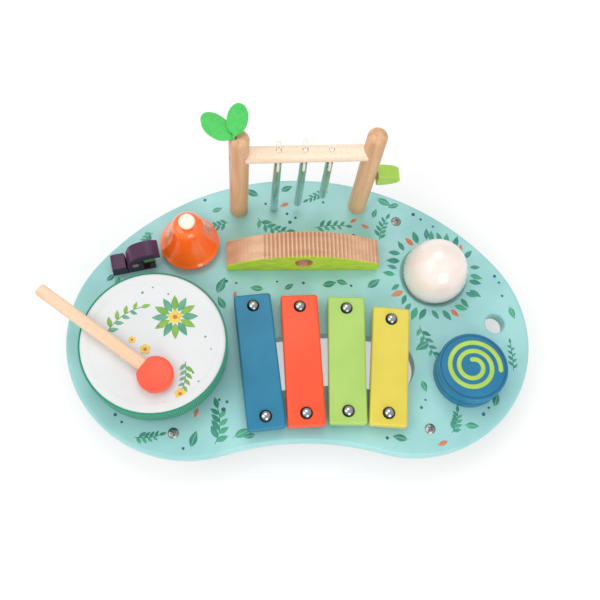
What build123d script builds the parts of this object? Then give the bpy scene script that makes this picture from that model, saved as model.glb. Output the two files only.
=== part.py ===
"""Musical activity table in millimetres: a bean-shaped board on four feet that carries a drum,
four tone bars over a sound slot, a guiro block, a chime frame, a push bell, a clacker, a
castanet, a twirl knob and an egg shaker in its nest. +Z is up and the child sits at -Y."""
from build123d import *
import math
import os

# ------------------------------------------------------------------ clearances
fit_gap = 0.05          # shaft in its bore, tenon in its mortise
seat_gap = 0.3          # between pieces that move apart
drill_gap = 0.4         # screw shank through a plain hole

# ------------------------------------------------------------------ board: a bean of four arcs
board_thick = 14.0
board_round = 3.0
left_lobe = Vector(-93.1, -16.5)
left_lobe_r = 99.2
right_lobe = Vector(87.9, -23.9)
right_lobe_r = 99.4
back_arc_r = 215.4
front_arc_r = 225.7
rim_bevel = 0.9

# ------------------------------------------------------------------ feet and screws
foot_places = {
    "front_left": (-107.8, -95.0),
    "front_right": (94.7, -101.9),
    "back_left": (-94.0, 88.5),
    "back_right": (85.8, 79.4),
}
foot_height = 16.0
foot_r = 12.5
foot_taper = 1.8
foot_round = 1.0
pad_height = 2.0
pad_inset = 0.8
foot_screw_r = 2.2
foot_screw_depth = 9.0
foot_screw_head_r = 4.3
foot_screw_head_h = 1.5
wood_screw_r = 1.7
wood_screw_head_r = 3.5
wood_screw_head_h = 2.2
wood_screw_bite = 6.0

# ------------------------------------------------------------------ sound slot and tone bars
slot_arc_centre = Vector(8.0, -251.0)
slot_arc_r = 210.0
slot_arc_from = 74.0
slot_arc_sweep = 25.9
slot_width = 44.0
bar_width = 30.0
bar_thick = 10.0
bar_round = 1.8
bar_corner_r = 2.2
bar_hole_inset = 10.0
bar_lift = 4.0
bar_layout = {
    "bar_blue": (-38.9, -42.7, 3.6, 110.6),
    "bar_coral": (-4.2, -43.3, -0.2, 107.5),
    "bar_green": (31.2, -44.8, -3.7, 104.6),
    "bar_yellow": (65.0, -51.8, -7.2, 97.3),
}
bar_screw_r = 2.0
bar_screw_bite = 9.0
bar_screw_head_r = 5.0
bar_screw_head_h = 3.4
washer_r = 6.0

# ------------------------------------------------------------------ drum
drum_centre = Vector(-120.1, -29.4)
drum_height = 32.0
drum_r = 55.6
skin_thick = 0.8
skin_skirt = 21.0
skin_round = 1.6
shell_wall = 6.0
band_thick = 1.1
band_round = 0.6
band_low = 8.5
band_high = 28.5

# ------------------------------------------------------------------ guiro block
guiro_centre = Vector(1.8, 48.2)
guiro_turn = -1.8
guiro_length = 127.0
guiro_depth = 22.5
guiro_left_h = 10.0
guiro_peak_h = 30.0
guiro_right_h = 12.0
guiro_corner_r = 2.5
guiro_bevel = 0.7
groove_count = 28
groove_pitch = 3.4
groove_depth = 1.1
groove_from_x = -32.0
guiro_hole_r = 7.5
guiro_hole_z = 16.5
guiro_screw_reach = 42.0

# ------------------------------------------------------------------ chime frame
frame_centre = Vector(1.5, 95.0)
post_spread = 102.0
post_r = 7.7
post_height = 121.0
post_dome = 5.5
rail_z = 93.5
rail_r = 6.5
rail_screw_r = 1.4
rail_screw_bite = 9.0
rail_screw_head_r = 2.6
rail_screw_head_h = 1.2
rail_screw_sink = 1.6
chime_pitch = 20.0
chime_offset = -1.2
chime_lengths = (80.0, 72.0, 58.0)
chime_r = 3.2
chime_wall = 0.7
chime_top_drop = 5.0
chime_hole_r = 1.25
chime_hole_drop = 9.5
cord_r = 0.85
cord_side = 4.25
cord_bend = 1.2
cord_neck = 0.95
cord_neck_end = 1.2
cord_hole_r = 2.2
knot_r = 2.4
knot_sink = 1.0
loop_half = 1.2
loop_foot = 1.5
loop_rises = (3.4, 4.8, 2.1)

# ------------------------------------------------------------------ felt leaves on a post
leaf_thick = 2.0
leaf_stem_width = 5.0
leaf_stem_depth = 6.0
leaf_socket_x = -3.9
leaf_overlap = 2.4
leaf_shapes = {
    "leaf_left": (156.0, 10.0, 26.5, 16.8, 1.8, -1),
    "leaf_right": (60.0, 46.0, 24.5, 14.2, 6.0, 1),
}
leaf_pin_r = 0.8
leaf_pin_drop = 3.8

# ------------------------------------------------------------------ push bell
bell_centre = Vector(-91.8, 62.6)
bell_lip_r = 24.2
bell_lip_z = 6.0
bell_waist_r = 17.0
bell_waist_z = 26.0
bell_shoulder_r = 13.2
bell_shoulder_z = 42.2
bell_crown_r = 10.4
bell_top_z = 45.0
bell_wall = 1.2
bell_plate_r = 14.0
bell_plate_h = 3.0
bell_post_r = 4.6
bell_chamber_r = 3.1
bell_spring_floor = 26.0
bell_foot_low = 4.5
bell_foot_high = 16.5
bell_window_low = 7.4
rod_r = 1.6
rod_tip_z = 14.3
collar_r = 2.6
collar_h = 1.2
bush_flange_r = 4.4
bush_flange_h = 1.2
bush_depth = 5.0
button_r = 6.6
button_height = 3.0
button_round = 1.8
button_stroke = 2.0
button_hollow_r = 5.4
button_hollow_depth = 1.5
spring_wire_r = 0.35
spring_coils = 4
spring_wire_sides = 6
striker_pivot_x = 6.4
striker_pivot_z = 12.2
striker_pin_r = 1.2
striker_thick = 3.0
striker_arm_h = 2.8
striker_tip_h = 2.0
striker_inner_x = -0.8
striker_hub_r = 2.3
striker_ball_r = 2.8
striker_ball_x = 16.4
striker_ball_z = 8.6
ear_thick = 1.8
ear_r = 2.6
bell_screw_r = 1.2
bell_screw_ring_r = 10.6
bell_screw_head_r = 2.2
bell_screw_head_h = 1.2
bell_screw_bite = 7.0

# ------------------------------------------------------------------ clacker
clacker_corner = Vector(-154.5, 37.7)
clacker_turn = 10.0
clacker_depth = 13.0
clacker_length = 40.0
clacker_pin_x = 19.2
clacker_pin_z = 12.0
clacker_pin_r = 2.8
clacker_screw_x = 5.0
clacker_screw_y = 4.2
knuckle_r = 6.4
knuckle_width = 6.0
knuckle_room = 1.4
heel_x = 12.0
heel_h = 13.2
heel_round = 3.0
plate_h = 2.2
anvil_from_x = 30.8
anvil_to_x = 35.2
jaw_neck_z = 12.6
jaw_neck_x = 23.6
jaw_floor_x = 25.6
jaw_floor_z = 20.0
jaw_foot = (13.4, 15.5)
jaw_shoulder = (17.8, 24.2)
jaw_crown = (28.5, 28.6)
jaw_nose = (39.5, 26.2)
jaw_chin_z = 24.0
knocker_from_x = 26.0
knocker_to_x = 35.2
knocker_h = 8.0
knocker_width = 10.6
knocker_round = 1.2

# ------------------------------------------------------------------ castanet
castanet_centre = Vector(130.2, -58.6)
castanet_r = 28.0
castanet_thick = 10.0
castanet_round = 1.4
castanet_scoop_r = 18.0
castanet_scoop = 4.0
castanet_screw_ring_r = 23.0
castanet_hinge_turn = 135.0
castanet_gape = 4.0
elastic_r = 1.2
elastic_spread = 12.0
elastic_inset = 6.0
elastic_reach = 4.0
elastic_hole_r = 2.6
elastic_hole_depth = 6.0

# ------------------------------------------------------------------ twirl knob
knob_z = 57.0
knob_length = 18.5
knob_half_h = 7.2
knob_depth = 12.0
knob_round = 1.2
knob_standoff = 0.9
knob_pin_r = 1.5
knob_pin_bore = 11.0
knob_pin_hold = 6.0

# ------------------------------------------------------------------ egg shaker and its nest
nest_centre = Vector(112.6, 28.7)
nest_mouth_r = 29.0
nest_r = 23.5
nest_cone_h = 6.2
egg_r = 24.9
egg_waist_z = 2.0
egg_up = 53.0
egg_down = 22.0
egg_wall = 3.0
egg_fullness = 0.55
egg_bluntness = 0.52
egg_lip = 2.5
egg_lip_wall = 1.4
bead_r = 2.4
bead_ring_r = 5.3
bead_ring_count = 4

# ------------------------------------------------------------------ mallet and its hole
mallet_hole = Vector(159.9, -16.3)
mallet_hole_r = 8.4
mallet_head_at = Vector(-118.0, -57.0)
mallet_turn = 140.9
mallet_reach = 113.5
mallet_head_r = 13.8
mallet_head_h = 9.0
mallet_head_round = 2.6
mallet_flat = 11.6
mallet_handle_w = 9.6
mallet_handle_h = 8.0
mallet_handle_round = 2.6
mallet_tip_round = 2.2
mallet_tenon_r = 3.2
mallet_tenon = 8.0

# ------------------------------------------------------------------ levels above the floor
board_z = pad_height + foot_height
deck = board_z + board_thick
chime_pivot_z = deck + rail_z - rail_r - seat_gap
drum_top = deck + drum_height


def at(place, z=0.0, turn=0.0):
    """Location of a plan point at height z, turned about the vertical."""
    return Pos(place.X, place.Y, z) * Rot(0, 0, turn)


def plan(angle, reach):
    """Plan vector of a length in a direction given in degrees."""
    return Vector(reach * math.cos(math.radians(angle)), reach * math.sin(math.radians(angle)))


def rod(radius, low, high):
    """Upright cylinder between two heights."""
    return Pos(0, 0, low) * Cylinder(radius, high - low, align=(Align.CENTER, Align.CENTER, Align.MIN))


def cone(low_r, high_r, low, high):
    """Upright cone frustum between two heights."""
    return Pos(0, 0, low) * Cone(low_r, high_r, high - low, align=(Align.CENTER, Align.CENTER, Align.MIN))


def tube(outer_r, inner_r, low, high):
    """Upright tube between two heights."""
    return rod(outer_r, low, high) - rod(inner_r, low - 1, high + 1)


def block(from_x, to_x, width, low, high):
    """Box between two x values and two heights, centred on y."""
    return Pos(from_x, 0, low) * Box(
        to_x - from_x, width, high - low, align=(Align.MIN, Align.CENTER, Align.MIN))


def across(radius, width, x, z):
    """Cylinder along Y through a point of the XZ plane."""
    return Pos(x, 0, z) * Rot(90, 0, 0) * Cylinder(radius, width)


def slab(profile, width):
    """Face drawn in X and Z, thickened evenly to both sides of the XZ plane."""
    return extrude(Plane.XZ * profile, amount=width / 2, both=True)


def top_rim(piece):
    """Highest circular edge of a piece."""
    return piece.edges().filter_by(GeomType.CIRCLE).sort_by(Axis.Z)[-1]


def ring_points(middle, ring_r, count, start):
    """Plan points evenly spaced on a ring."""
    return [middle + plan(start + k * 360 / count, ring_r) for k in range(count)]


def cord_along(path, radius):
    """Round cord whose middle follows a path."""
    return sweep(Plane(origin=path @ 0, z_dir=path % 0) * Circle(radius), path=path)


# ------------------------------------------------------------------ places that pieces share
def guiro_point(x):
    """Plan point on the guiro block's long middle line."""
    return guiro_centre + plan(guiro_turn, x)


def clacker_point(x, y):
    """Plan point given in the clacker's own frame, y measured from its middle."""
    return clacker_corner + plan(clacker_turn, x) + plan(clacker_turn + 90, y + clacker_depth / 2)


def bar_ends(x, y, turn, length):
    """The two screw places of a tone bar."""
    reach = length / 2 - bar_hole_inset
    return [Vector(x, y) + plan(turn + 90, reach), Vector(x, y) - plan(turn + 90, reach)]


post_left_at = frame_centre - Vector(post_spread / 2, 0)
post_right_at = frame_centre + Vector(post_spread / 2, 0)
drum_screws = ring_points(drum_centre, drum_r - skin_thick - shell_wall / 2, 3, 90.0)
guiro_screws = [guiro_point(-guiro_screw_reach), guiro_point(guiro_screw_reach)]
clacker_screws = [clacker_point(clacker_screw_x, side * clacker_screw_y) for side in (-1, 1)]
castanet_screws = ring_points(castanet_centre, castanet_screw_ring_r, 2, castanet_hinge_turn - 90)
wood_screws = (
    [post_left_at, post_right_at] + drum_screws + guiro_screws + clacker_screws + castanet_screws
)
bar_screws = [place for layout in bar_layout.values() for place in bar_ends(*layout)]
bell_screws = ring_points(bell_centre, bell_screw_ring_r, 3, 60.0)


def drilled(piece, places):
    """Piece with the pilot holes that screws from below the board bite into."""
    pilot = rod(wood_screw_r + fit_gap, deck - 1, deck + wood_screw_bite + 1)
    return piece - [at(place) * pilot for place in places]


# ------------------------------------------------------------------ board
def arc_centre(left_reach, right_reach):
    """Point at given distances from the two lobe centres, on the child's side of them."""
    line = right_lobe - left_lobe
    along = (left_reach**2 - right_reach**2 + line.length**2) / (2 * line.length)
    aside = math.sqrt(left_reach**2 - along**2)
    unit = line.normalized()
    return left_lobe + unit * along + Vector(unit.Y, -unit.X) * aside


def bean_outline():
    """Two lobes joined by a broad arc behind and a hollow arc in front, all tangent."""
    back = arc_centre(back_arc_r - left_lobe_r, back_arc_r - right_lobe_r)
    front = arc_centre(front_arc_r + left_lobe_r, front_arc_r + right_lobe_r)
    back_left = back + (left_lobe - back).normalized() * back_arc_r
    back_right = back + (right_lobe - back).normalized() * back_arc_r
    front_left = left_lobe + (front - left_lobe).normalized() * left_lobe_r
    front_right = right_lobe + (front - right_lobe).normalized() * right_lobe_r
    back_mid = back + ((back_left + back_right) / 2 - back).normalized() * back_arc_r
    front_mid = front + ((front_left + front_right) / 2 - front).normalized() * front_arc_r
    side = (right_lobe - left_lobe).normalized()
    return make_face([
        ThreePointArc(front_left, left_lobe - side * left_lobe_r, back_left),
        ThreePointArc(back_left, back_mid, back_right),
        ThreePointArc(back_right, right_lobe + side * right_lobe_r, front_right),
        ThreePointArc(front_right, front_mid, front_left),
    ])


def mallet_hole_cutter():
    """Through hole with a small bevel at both faces of the board."""
    lip_r = mallet_hole_r + rim_bevel
    return (
        rod(mallet_hole_r, board_z - 1, deck + 1)
        + cone(lip_r, mallet_hole_r, board_z, board_z + rim_bevel)
        + cone(mallet_hole_r, lip_r, deck - rim_bevel, deck)
    )


def nest_cutter():
    """Cone that guides the egg down to the rim of a round hole."""
    return rod(nest_r, board_z - 1, deck + 1) + cone(nest_r, nest_mouth_r, deck - nest_cone_h, deck)


def slot_cutter():
    """Curved sound slot under the tone bars."""
    spine = CenterArc(slot_arc_centre, slot_arc_r, slot_arc_from, slot_arc_sweep)
    return Pos(0, 0, board_z - 1) * extrude(SlotArc(spine, slot_width), amount=board_thick + 2)


def countersunk_cutter():
    """Clearance hole and countersink for one screw driven from below."""
    shank_r = wood_screw_r + drill_gap
    head_r = wood_screw_head_r + drill_gap
    return rod(shank_r, board_z - 1, deck + 1) + cone(
        head_r, shank_r, board_z, board_z + wood_screw_head_h + drill_gap)


def make_tabletop():
    """Board with rounded edges, its openings and every screw hole."""
    board = Pos(0, 0, board_z) * extrude(bean_outline(), amount=board_thick)
    faces = board.faces().sort_by(Axis.Z)
    board = fillet(faces[0].edges() + faces[-1].edges(), board_round)
    bar_drill = rod(bar_screw_r + fit_gap, deck - bar_screw_bite - 1, deck + 1)
    bell_drill = rod(bell_screw_r + fit_gap, deck - bell_screw_bite - 1, deck + 1)
    foot_drill = rod(foot_screw_r + drill_gap, board_z - 1, deck + 1)
    board -= [slot_cutter(), at(mallet_hole) * mallet_hole_cutter(), at(nest_centre) * nest_cutter()]
    board -= [at(place) * countersunk_cutter() for place in wood_screws]
    board -= [at(Vector(*place)) * foot_drill for place in foot_places.values()]
    board -= [at(place) * bar_drill for place in bar_screws]
    board -= [at(place) * bell_drill for place in bell_screws]
    return board


# ------------------------------------------------------------------ feet and fasteners
def make_foot():
    """Turned foot, narrower at the floor, drilled for its screw."""
    foot = cone(foot_r - foot_taper, foot_r, pad_height, board_z)
    foot = fillet(foot.edges().filter_by(GeomType.CIRCLE), foot_round)
    return foot - rod(foot_screw_r + fit_gap, board_z - foot_screw_depth - 1, board_z + 1)


def dome_head(radius, height, seat):
    """Screw head cut from a ball, its flat face on the seat."""
    ball_r = (radius**2 + height**2) / (2 * height)
    return Pos(0, 0, seat + height - ball_r) * Sphere(ball_r) & rod(radius, seat, seat + height)


def make_foot_screw():
    """Screw with a low domed head, through the board into a foot."""
    head = dome_head(foot_screw_head_r, foot_screw_head_h, deck)
    return head + rod(foot_screw_r, board_z - foot_screw_depth, deck)


def make_wood_screw():
    """Countersunk screw with its head flush under the board."""
    head_top = board_z + wood_screw_head_h
    head = cone(wood_screw_head_r, wood_screw_r, board_z, head_top)
    return head + rod(wood_screw_r, head_top, deck + wood_screw_bite)


def add_feet(pieces):
    """Four feet with their pads and the screws that hold them."""
    pad = rod(foot_r - foot_taper - pad_inset, 0, pad_height)
    for name, place in foot_places.items():
        pieces["foot_" + name] = at(Vector(*place)) * make_foot()
        pieces["foot_pad_" + name] = at(Vector(*place)) * pad
    pieces["foot_screws"] = [at(Vector(*place)) * make_foot_screw() for place in foot_places.values()]
    pieces["underside_screws"] = [at(place) * make_wood_screw() for place in wood_screws]


# ------------------------------------------------------------------ tone bars
def make_bar(length):
    """Flat bar with rounded corners and edges and two screw holes, lying along Y."""
    low = deck + bar_lift
    bar = Pos(0, 0, low) * Box(
        bar_width, length, bar_thick, align=(Align.CENTER, Align.CENTER, Align.MIN))
    bar = fillet(bar.edges().filter_by(Axis.Z), bar_corner_r)
    bar = fillet(bar.faces().filter_by(Axis.Z).edges(), bar_round)
    reach = length / 2 - bar_hole_inset
    drill = rod(bar_screw_r + drill_gap, low - 1, low + bar_thick + 1)
    return bar - [Pos(0, reach, 0) * drill, Pos(0, -reach, 0) * drill]


def make_bar_screw():
    """Round head screw that holds a bar end down on its felt washer."""
    seat = deck + bar_lift + bar_thick
    head = dome_head(bar_screw_head_r, bar_screw_head_h, seat)
    return head + rod(bar_screw_r, deck - bar_screw_bite, seat)


def add_bars(pieces):
    """Four tone bars, their screws and their felt washers."""
    for name, (x, y, turn, length) in bar_layout.items():
        pieces[name] = at(Vector(x, y), 0, turn) * make_bar(length)
    washer = tube(washer_r, bar_screw_r + drill_gap, deck, deck + bar_lift)
    pieces["bar_screws"] = [at(place) * make_bar_screw() for place in bar_screws]
    pieces["bar_washers"] = [at(place) * washer for place in bar_screws]


# ------------------------------------------------------------------ drum
def make_drum_skin():
    """Stretched sheet over the rim with its skirt down the side."""
    skin = rod(drum_r, drum_top - skin_skirt, drum_top)
    skin = fillet(top_rim(skin), skin_round)
    hollow = rod(drum_r - skin_thick, drum_top - skin_skirt - 1, drum_top - skin_thick)
    return skin - fillet(top_rim(hollow), skin_round - skin_thick)


def make_drum_shell():
    """Round wooden wall under the skin."""
    outer_r = drum_r - skin_thick - fit_gap
    shell = tube(outer_r, outer_r - shell_wall, deck, drum_top - skin_thick)
    rims = shell.edges().filter_by(GeomType.CIRCLE).group_by(Axis.Z)[-1]
    return fillet(rims, skin_round)


def make_drum_band():
    """Elastic band that grips the skirt."""
    inner_r = drum_r + fit_gap
    band = tube(inner_r + band_thick, inner_r, deck + band_low, deck + band_high)
    rims = band.edges().filter_by(GeomType.CIRCLE).sort_by(SortBy.RADIUS)[-2:]
    return fillet(rims, band_round)


def add_drum(pieces):
    """Shell, skin and band of the drum."""
    pieces["drum_shell"] = drilled(at(drum_centre) * make_drum_shell(), drum_screws)
    pieces["drum_skin"] = at(drum_centre) * make_drum_skin()
    pieces["drum_band"] = at(drum_centre) * make_drum_band()


# ------------------------------------------------------------------ guiro block
def make_guiro():
    """Arched block with scraping grooves along its back and a hole through its middle."""
    left = (-guiro_length / 2, guiro_left_h)
    right = (guiro_length / 2, guiro_right_h)
    arch = ThreePointArc(left, (0, guiro_peak_h), right)
    base = Polyline(right, (guiro_length / 2, 0), (-guiro_length / 2, 0), left)
    profile = make_face([arch, base])
    profile = fillet(profile.vertices().sort_by(Axis.Y)[2:], guiro_corner_r)
    body = slab(profile, guiro_depth)
    body = chamfer(body.faces().filter_by(Axis.Y).edges(), guiro_bevel)
    middle = arch.arc_center
    wedge = Box(groove_depth * math.sqrt(2), guiro_depth + 2, groove_depth * math.sqrt(2))
    cuts = []
    for k in range(groove_count):
        x = groove_from_x + k * groove_pitch
        z = middle.Y + math.sqrt(arch.radius**2 - (x - middle.X) ** 2)
        lean = math.degrees(math.asin((x - middle.X) / arch.radius))
        cuts.append(Pos(x, 0, z) * Rot(0, lean + 45, 0) * wedge)
    return body - cuts - across(guiro_hole_r, guiro_depth + 2, 0, guiro_hole_z)


def add_guiro(pieces):
    """The guiro block on its two screws."""
    pieces["guiro_block"] = drilled(at(guiro_centre, deck, guiro_turn) * make_guiro(), guiro_screws)


# ------------------------------------------------------------------ chime frame
def chime_places():
    """Places of the chimes along the rail, measured from its middle."""
    return [chime_offset + (k - 1) * chime_pitch for k in range(len(chime_lengths))]


def make_post():
    """Round post with a domed end, drilled along X for the rail's screw."""
    post = rod(post_r, 0, post_height)
    post = fillet(top_rim(post), post_dome)
    sink = rod(rail_screw_head_r + drill_gap, -post_r - 1, rail_screw_sink - post_r)
    sink += rod(rail_screw_r + drill_gap, -post_r - 1, post_r + 1)
    return post - Pos(0, 0, rail_z) * Rot(0, 90, 0) * sink


def make_rail():
    """Round rail coped to the posts, with one cord hole above each chime."""
    rail = Rot(0, 90, 0) * Cylinder(rail_r, post_spread)
    pilot = Cylinder(rail_screw_r + fit_gap, 2 * (post_r + rail_screw_bite + 1))
    for side in (-post_spread / 2, post_spread / 2):
        rail -= Pos(side, 0, 0) * rod(post_r + fit_gap, -post_r, post_r)
        rail -= Pos(side, 0, 0) * Rot(0, 90, 0) * pilot
    for x in chime_places():
        rail -= Pos(x, 0, 0) * rod(cord_hole_r, -rail_r - 1, rail_r + 1)
        rail -= Pos(x, 0, rail_r - knot_sink) * Sphere(knot_r + fit_gap)
    return rail


def make_rail_screw():
    """Screw along +X with its head sunk in the outer side of the left post."""
    seat = rail_screw_sink - post_r
    screw = rod(rail_screw_head_r, seat - rail_screw_head_h, seat)
    return Rot(0, 90, 0) * (screw + rod(rail_screw_r, seat, post_r + rail_screw_bite))


def make_chime(length):
    """Metal tube with a cross hole for its cord, hanging below its pivot."""
    top = -chime_top_drop
    bar = tube(chime_r, chime_r - chime_wall, top - length, top)
    return bar - across(chime_hole_r, 4 * chime_r, 0, top - chime_hole_drop)


def make_cord():
    """Cord through the cross hole, up both sides of the tube and together at the pivot."""
    hole_z = -chime_top_drop - chime_hole_drop
    shoulder_z = cord_r - chime_top_drop
    half = [(cord_neck, -seat_gap), (cord_neck, -cord_neck_end), (cord_side, shoulder_z), (cord_side, hole_z)]
    points = [(0, -y, z) for y, z in half] + [(0, y, z) for y, z in reversed(half)]
    return cord_along(FilletPolyline(*points, radius=cord_bend), cord_r)


def make_loop(rise):
    """The cord's loop above the rail, with the knot that holds it in the rail's hole."""
    top = 2 * rail_r + seat_gap
    bend_z = top + rise - loop_half
    width = 4 * (loop_half + cord_r)
    arch = Rot(90, 0, 0) * Torus(loop_half, cord_r) & block(-width, width, width, 0, width)
    strand = rod(cord_r, loop_foot, bend_z)
    loop = Pos(0, 0, bend_z) * arch + [Pos(side * loop_half, 0, 0) * strand for side in (-1, 1)]
    return loop + Pos(0, 0, top - knot_sink) * Rot(90, 0, 0) * Sphere(knot_r)


def add_chimes(pieces):
    """Posts, rail, tubes on their cords and the screws of the rail."""
    middle = at(frame_centre, deck + rail_z)
    left_end = Pos(-post_spread / 2, 0, 0)
    right_end = Pos(post_spread / 2, 0, 0) * Rot(0, 0, 180)
    left = drilled(at(post_left_at, deck) * make_post(), [post_left_at])
    right = drilled(at(post_right_at, deck, 180) * make_post(), [post_right_at])
    pieces["post_left"] = left - leaf_socket()
    pieces["post_right"] = right - knob_bore()
    pieces["chime_rail"] = middle * make_rail()
    pieces["chime_rail_screws"] = [middle * end * make_rail_screw() for end in (left_end, right_end)]
    pieces["chime_cord_loops"] = []
    for k, x in enumerate(chime_places()):
        pivot = at(frame_centre + Vector(x, 0), chime_pivot_z)
        pieces[f"chime_{k + 1}"] = pivot * make_chime(chime_lengths[k])
        pieces[f"chime_cord_{k + 1}"] = pivot * make_cord()
        pieces["chime_cord_loops"].append(pivot * make_loop(loop_rises[k]))


# ------------------------------------------------------------------ felt leaves on the left post
def post_top():
    """Location of the left post's upper end."""
    return at(post_left_at, deck + post_height)


def leaf_pin(radius, reach):
    """Pin along X through both stems, below the post's dome."""
    return Pos(0, 0, -leaf_pin_drop) * Rot(0, 90, 0) * Cylinder(radius, 2 * reach)


def leaf_socket():
    """Socket in the post's end for both leaf stems, with the hole for their pin."""
    thick = 2 * leaf_thick + 3 * fit_gap
    socket = Pos(leaf_socket_x, 0, -leaf_stem_depth) * Box(
        thick, leaf_stem_width + 2 * fit_gap, 2 * leaf_stem_depth,
        align=(Align.CENTER, Align.CENTER, Align.MIN))
    return post_top() * (socket + leaf_pin(leaf_pin_r + fit_gap, post_r + 1))


def make_leaf(turn, lean, length, width, rise, side):
    """Round-ended felt leaf on a flat stem that fills one half of the socket."""
    stem_x = leaf_socket_x + side * (leaf_thick + fit_gap) / 2
    blade = extrude(Ellipse(length / 2, width / 2), amount=leaf_thick / 2, both=True)
    blade = Rot(0, 0, turn) * Rot(0, -lean, 0) * Pos(length / 2 - leaf_overlap, 0, 0) * blade
    blade = Pos(stem_x, 0, rise) * blade
    stem = Pos(stem_x, 0, fit_gap - leaf_stem_depth) * Box(
        leaf_thick, leaf_stem_width, leaf_stem_depth + rise,
        align=(Align.CENTER, Align.CENTER, Align.MIN))
    own_side = Pos(leaf_socket_x + side * (length + fit_gap / 2), 0, 0) * Box(2 * length, 4 * length, 4 * length)
    return stem + (blade & own_side) - leaf_pin(leaf_pin_r + fit_gap, post_r + 1)


def add_leaves(pieces):
    """Two felt leaves pinned in the left post."""
    for name, shape in leaf_shapes.items():
        pieces[name] = post_top() * make_leaf(*shape)
    pieces["leaf_pin"] = post_top() * leaf_pin(leaf_pin_r, post_r - fit_gap)


# ------------------------------------------------------------------ push bell
def bell_solid(inset):
    """Solid bell shape, drawn inward and downward by an inset."""
    lip = (bell_lip_r - inset, bell_lip_z)
    waist = (bell_waist_r - inset, bell_waist_z)
    shoulder = (bell_shoulder_r - inset, bell_shoulder_z)
    crown = (bell_crown_r, bell_top_z - inset)
    side = ThreePointArc(lip, waist, shoulder)
    cap = TangentArc(crown, shoulder, tangent=(1, 0))
    rest = Polyline(crown, (0, bell_top_z - inset), (0, bell_lip_z), lip)
    return revolve(Plane.XZ * make_face([side, cap, rest]), Axis.Z)


def make_bell_dome():
    """Flared metal bell with a round hole in its flat crown."""
    shell = bell_solid(0) - bell_solid(bell_wall)
    return shell - rod(bell_chamber_r, bell_top_z - bell_wall - 1, bell_top_z + 1)


def make_bell_base():
    """Plate and hollow pillar that carries the bell, the spring and the striker's ears."""
    room = striker_thick / 2 + seat_gap
    ear = across(ear_r, ear_thick, striker_pivot_x, striker_pivot_z)
    ear += block(striker_pivot_x - ear_r, striker_pivot_x + ear_r, ear_thick, 0, striker_pivot_z)
    base = rod(bell_plate_r, 0, bell_plate_h) + rod(bell_post_r, 0, bell_top_z - bell_wall)
    base += [Pos(0, side * (room + ear_thick / 2), 0) * ear for side in (-1, 1)]
    base -= rod(bell_chamber_r, bell_spring_floor, bell_top_z)
    base -= rod(rod_r + fit_gap, bell_foot_high - 1, bell_spring_floor + 1)
    base -= rod(bell_chamber_r, bell_foot_low, bell_foot_high)
    base -= block(0, bell_post_r + 1, 2 * room, bell_window_low, bell_foot_high)
    base -= across(striker_pin_r + fit_gap, 2 * bell_plate_r, striker_pivot_x, striker_pivot_z)
    screw_hole = rod(bell_screw_r + drill_gap, -1, bell_plate_h + 1)
    return base - [at(place - bell_centre) * screw_hole for place in bell_screws]


def make_bell_bush():
    """Flanged bush that clamps the bell to the pillar and guides the button's rod."""
    low = bell_top_z - bush_depth
    top = bell_top_z + bush_flange_h
    bush = rod(bush_flange_r, bell_top_z, top) + rod(bell_chamber_r - fit_gap, low, bell_top_z)
    return bush - rod(rod_r + fit_gap, low - 1, top + 1)


def make_bell_button():
    """Domed button over the bush on a long rod with a collar for the spring."""
    low = bell_top_z + button_stroke + seat_gap
    collar_top = bell_top_z - bush_depth - seat_gap
    cap = rod(button_r, low, low + button_height)
    cap = fillet(top_rim(cap), button_round)
    cap -= rod(button_hollow_r, low - 1, low + button_hollow_depth)
    stem = rod(rod_r, rod_tip_z, low + button_hollow_depth)
    return cap + stem + rod(collar_r, collar_top - collar_h, collar_top)


def make_bell_spring():
    """Coil spring between the pillar's ledge and the rod's collar."""
    top = bell_top_z - bush_depth - seat_gap - collar_h - spring_wire_r - fit_gap
    low = bell_spring_floor + spring_wire_r + fit_gap
    coil = Pos(0, 0, low) * Helix((top - low) / spring_coils, top - low, (rod_r + bell_chamber_r) / 2)
    wire = RegularPolygon(spring_wire_r, spring_wire_sides)
    return sweep(Plane(origin=coil @ 0, z_dir=coil % 0) * wire, path=coil)


def make_bell_striker():
    """Rocker with an inner arm under the rod and a ball that swings up to the bell."""
    x, z = striker_pivot_x, striker_pivot_z
    arm_half = striker_arm_h / 2
    tip_half = striker_tip_h / 2
    outline = Polyline(
        (striker_inner_x, z - arm_half), (x, z - arm_half),
        (striker_ball_x, striker_ball_z - tip_half), (striker_ball_x, striker_ball_z + tip_half),
        (x, z + arm_half), (striker_inner_x, z + arm_half), close=True)
    arm = slab(make_face(outline), striker_thick) + across(striker_hub_r, striker_thick, x, z)
    arm += Pos(striker_ball_x, 0, striker_ball_z) * Sphere(striker_ball_r)
    return arm - across(striker_pin_r + fit_gap, 2 * striker_thick, x, z)


def make_bell_screw():
    """Small round head screw through the bell's plate into the board."""
    head = dome_head(bell_screw_head_r, bell_screw_head_h, bell_plate_h)
    return head + rod(bell_screw_r, -bell_screw_bite, bell_plate_h)


def add_bell(pieces):
    """Bell with its base, button, spring and striker."""
    spot = at(bell_centre, deck)
    pin_length = striker_thick + 2 * (seat_gap + ear_thick)
    pieces["bell_base"] = spot * make_bell_base()
    pieces["bell_base_screws"] = [at(place, deck) * make_bell_screw() for place in bell_screws]
    pieces["bell_dome"] = spot * make_bell_dome()
    pieces["bell_bush"] = spot * make_bell_bush()
    pieces["bell_button"] = spot * make_bell_button()
    pieces["bell_spring"] = spot * make_bell_spring()
    pieces["bell_striker"] = spot * make_bell_striker()
    pieces["bell_pivot_pin"] = spot * across(striker_pin_r, pin_length, striker_pivot_x, striker_pivot_z)


# ------------------------------------------------------------------ clacker
def pin_round(radius, width):
    """Cylinder of a given radius about the clacker's pin."""
    return across(radius, width, clacker_pin_x, clacker_pin_z)


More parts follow.
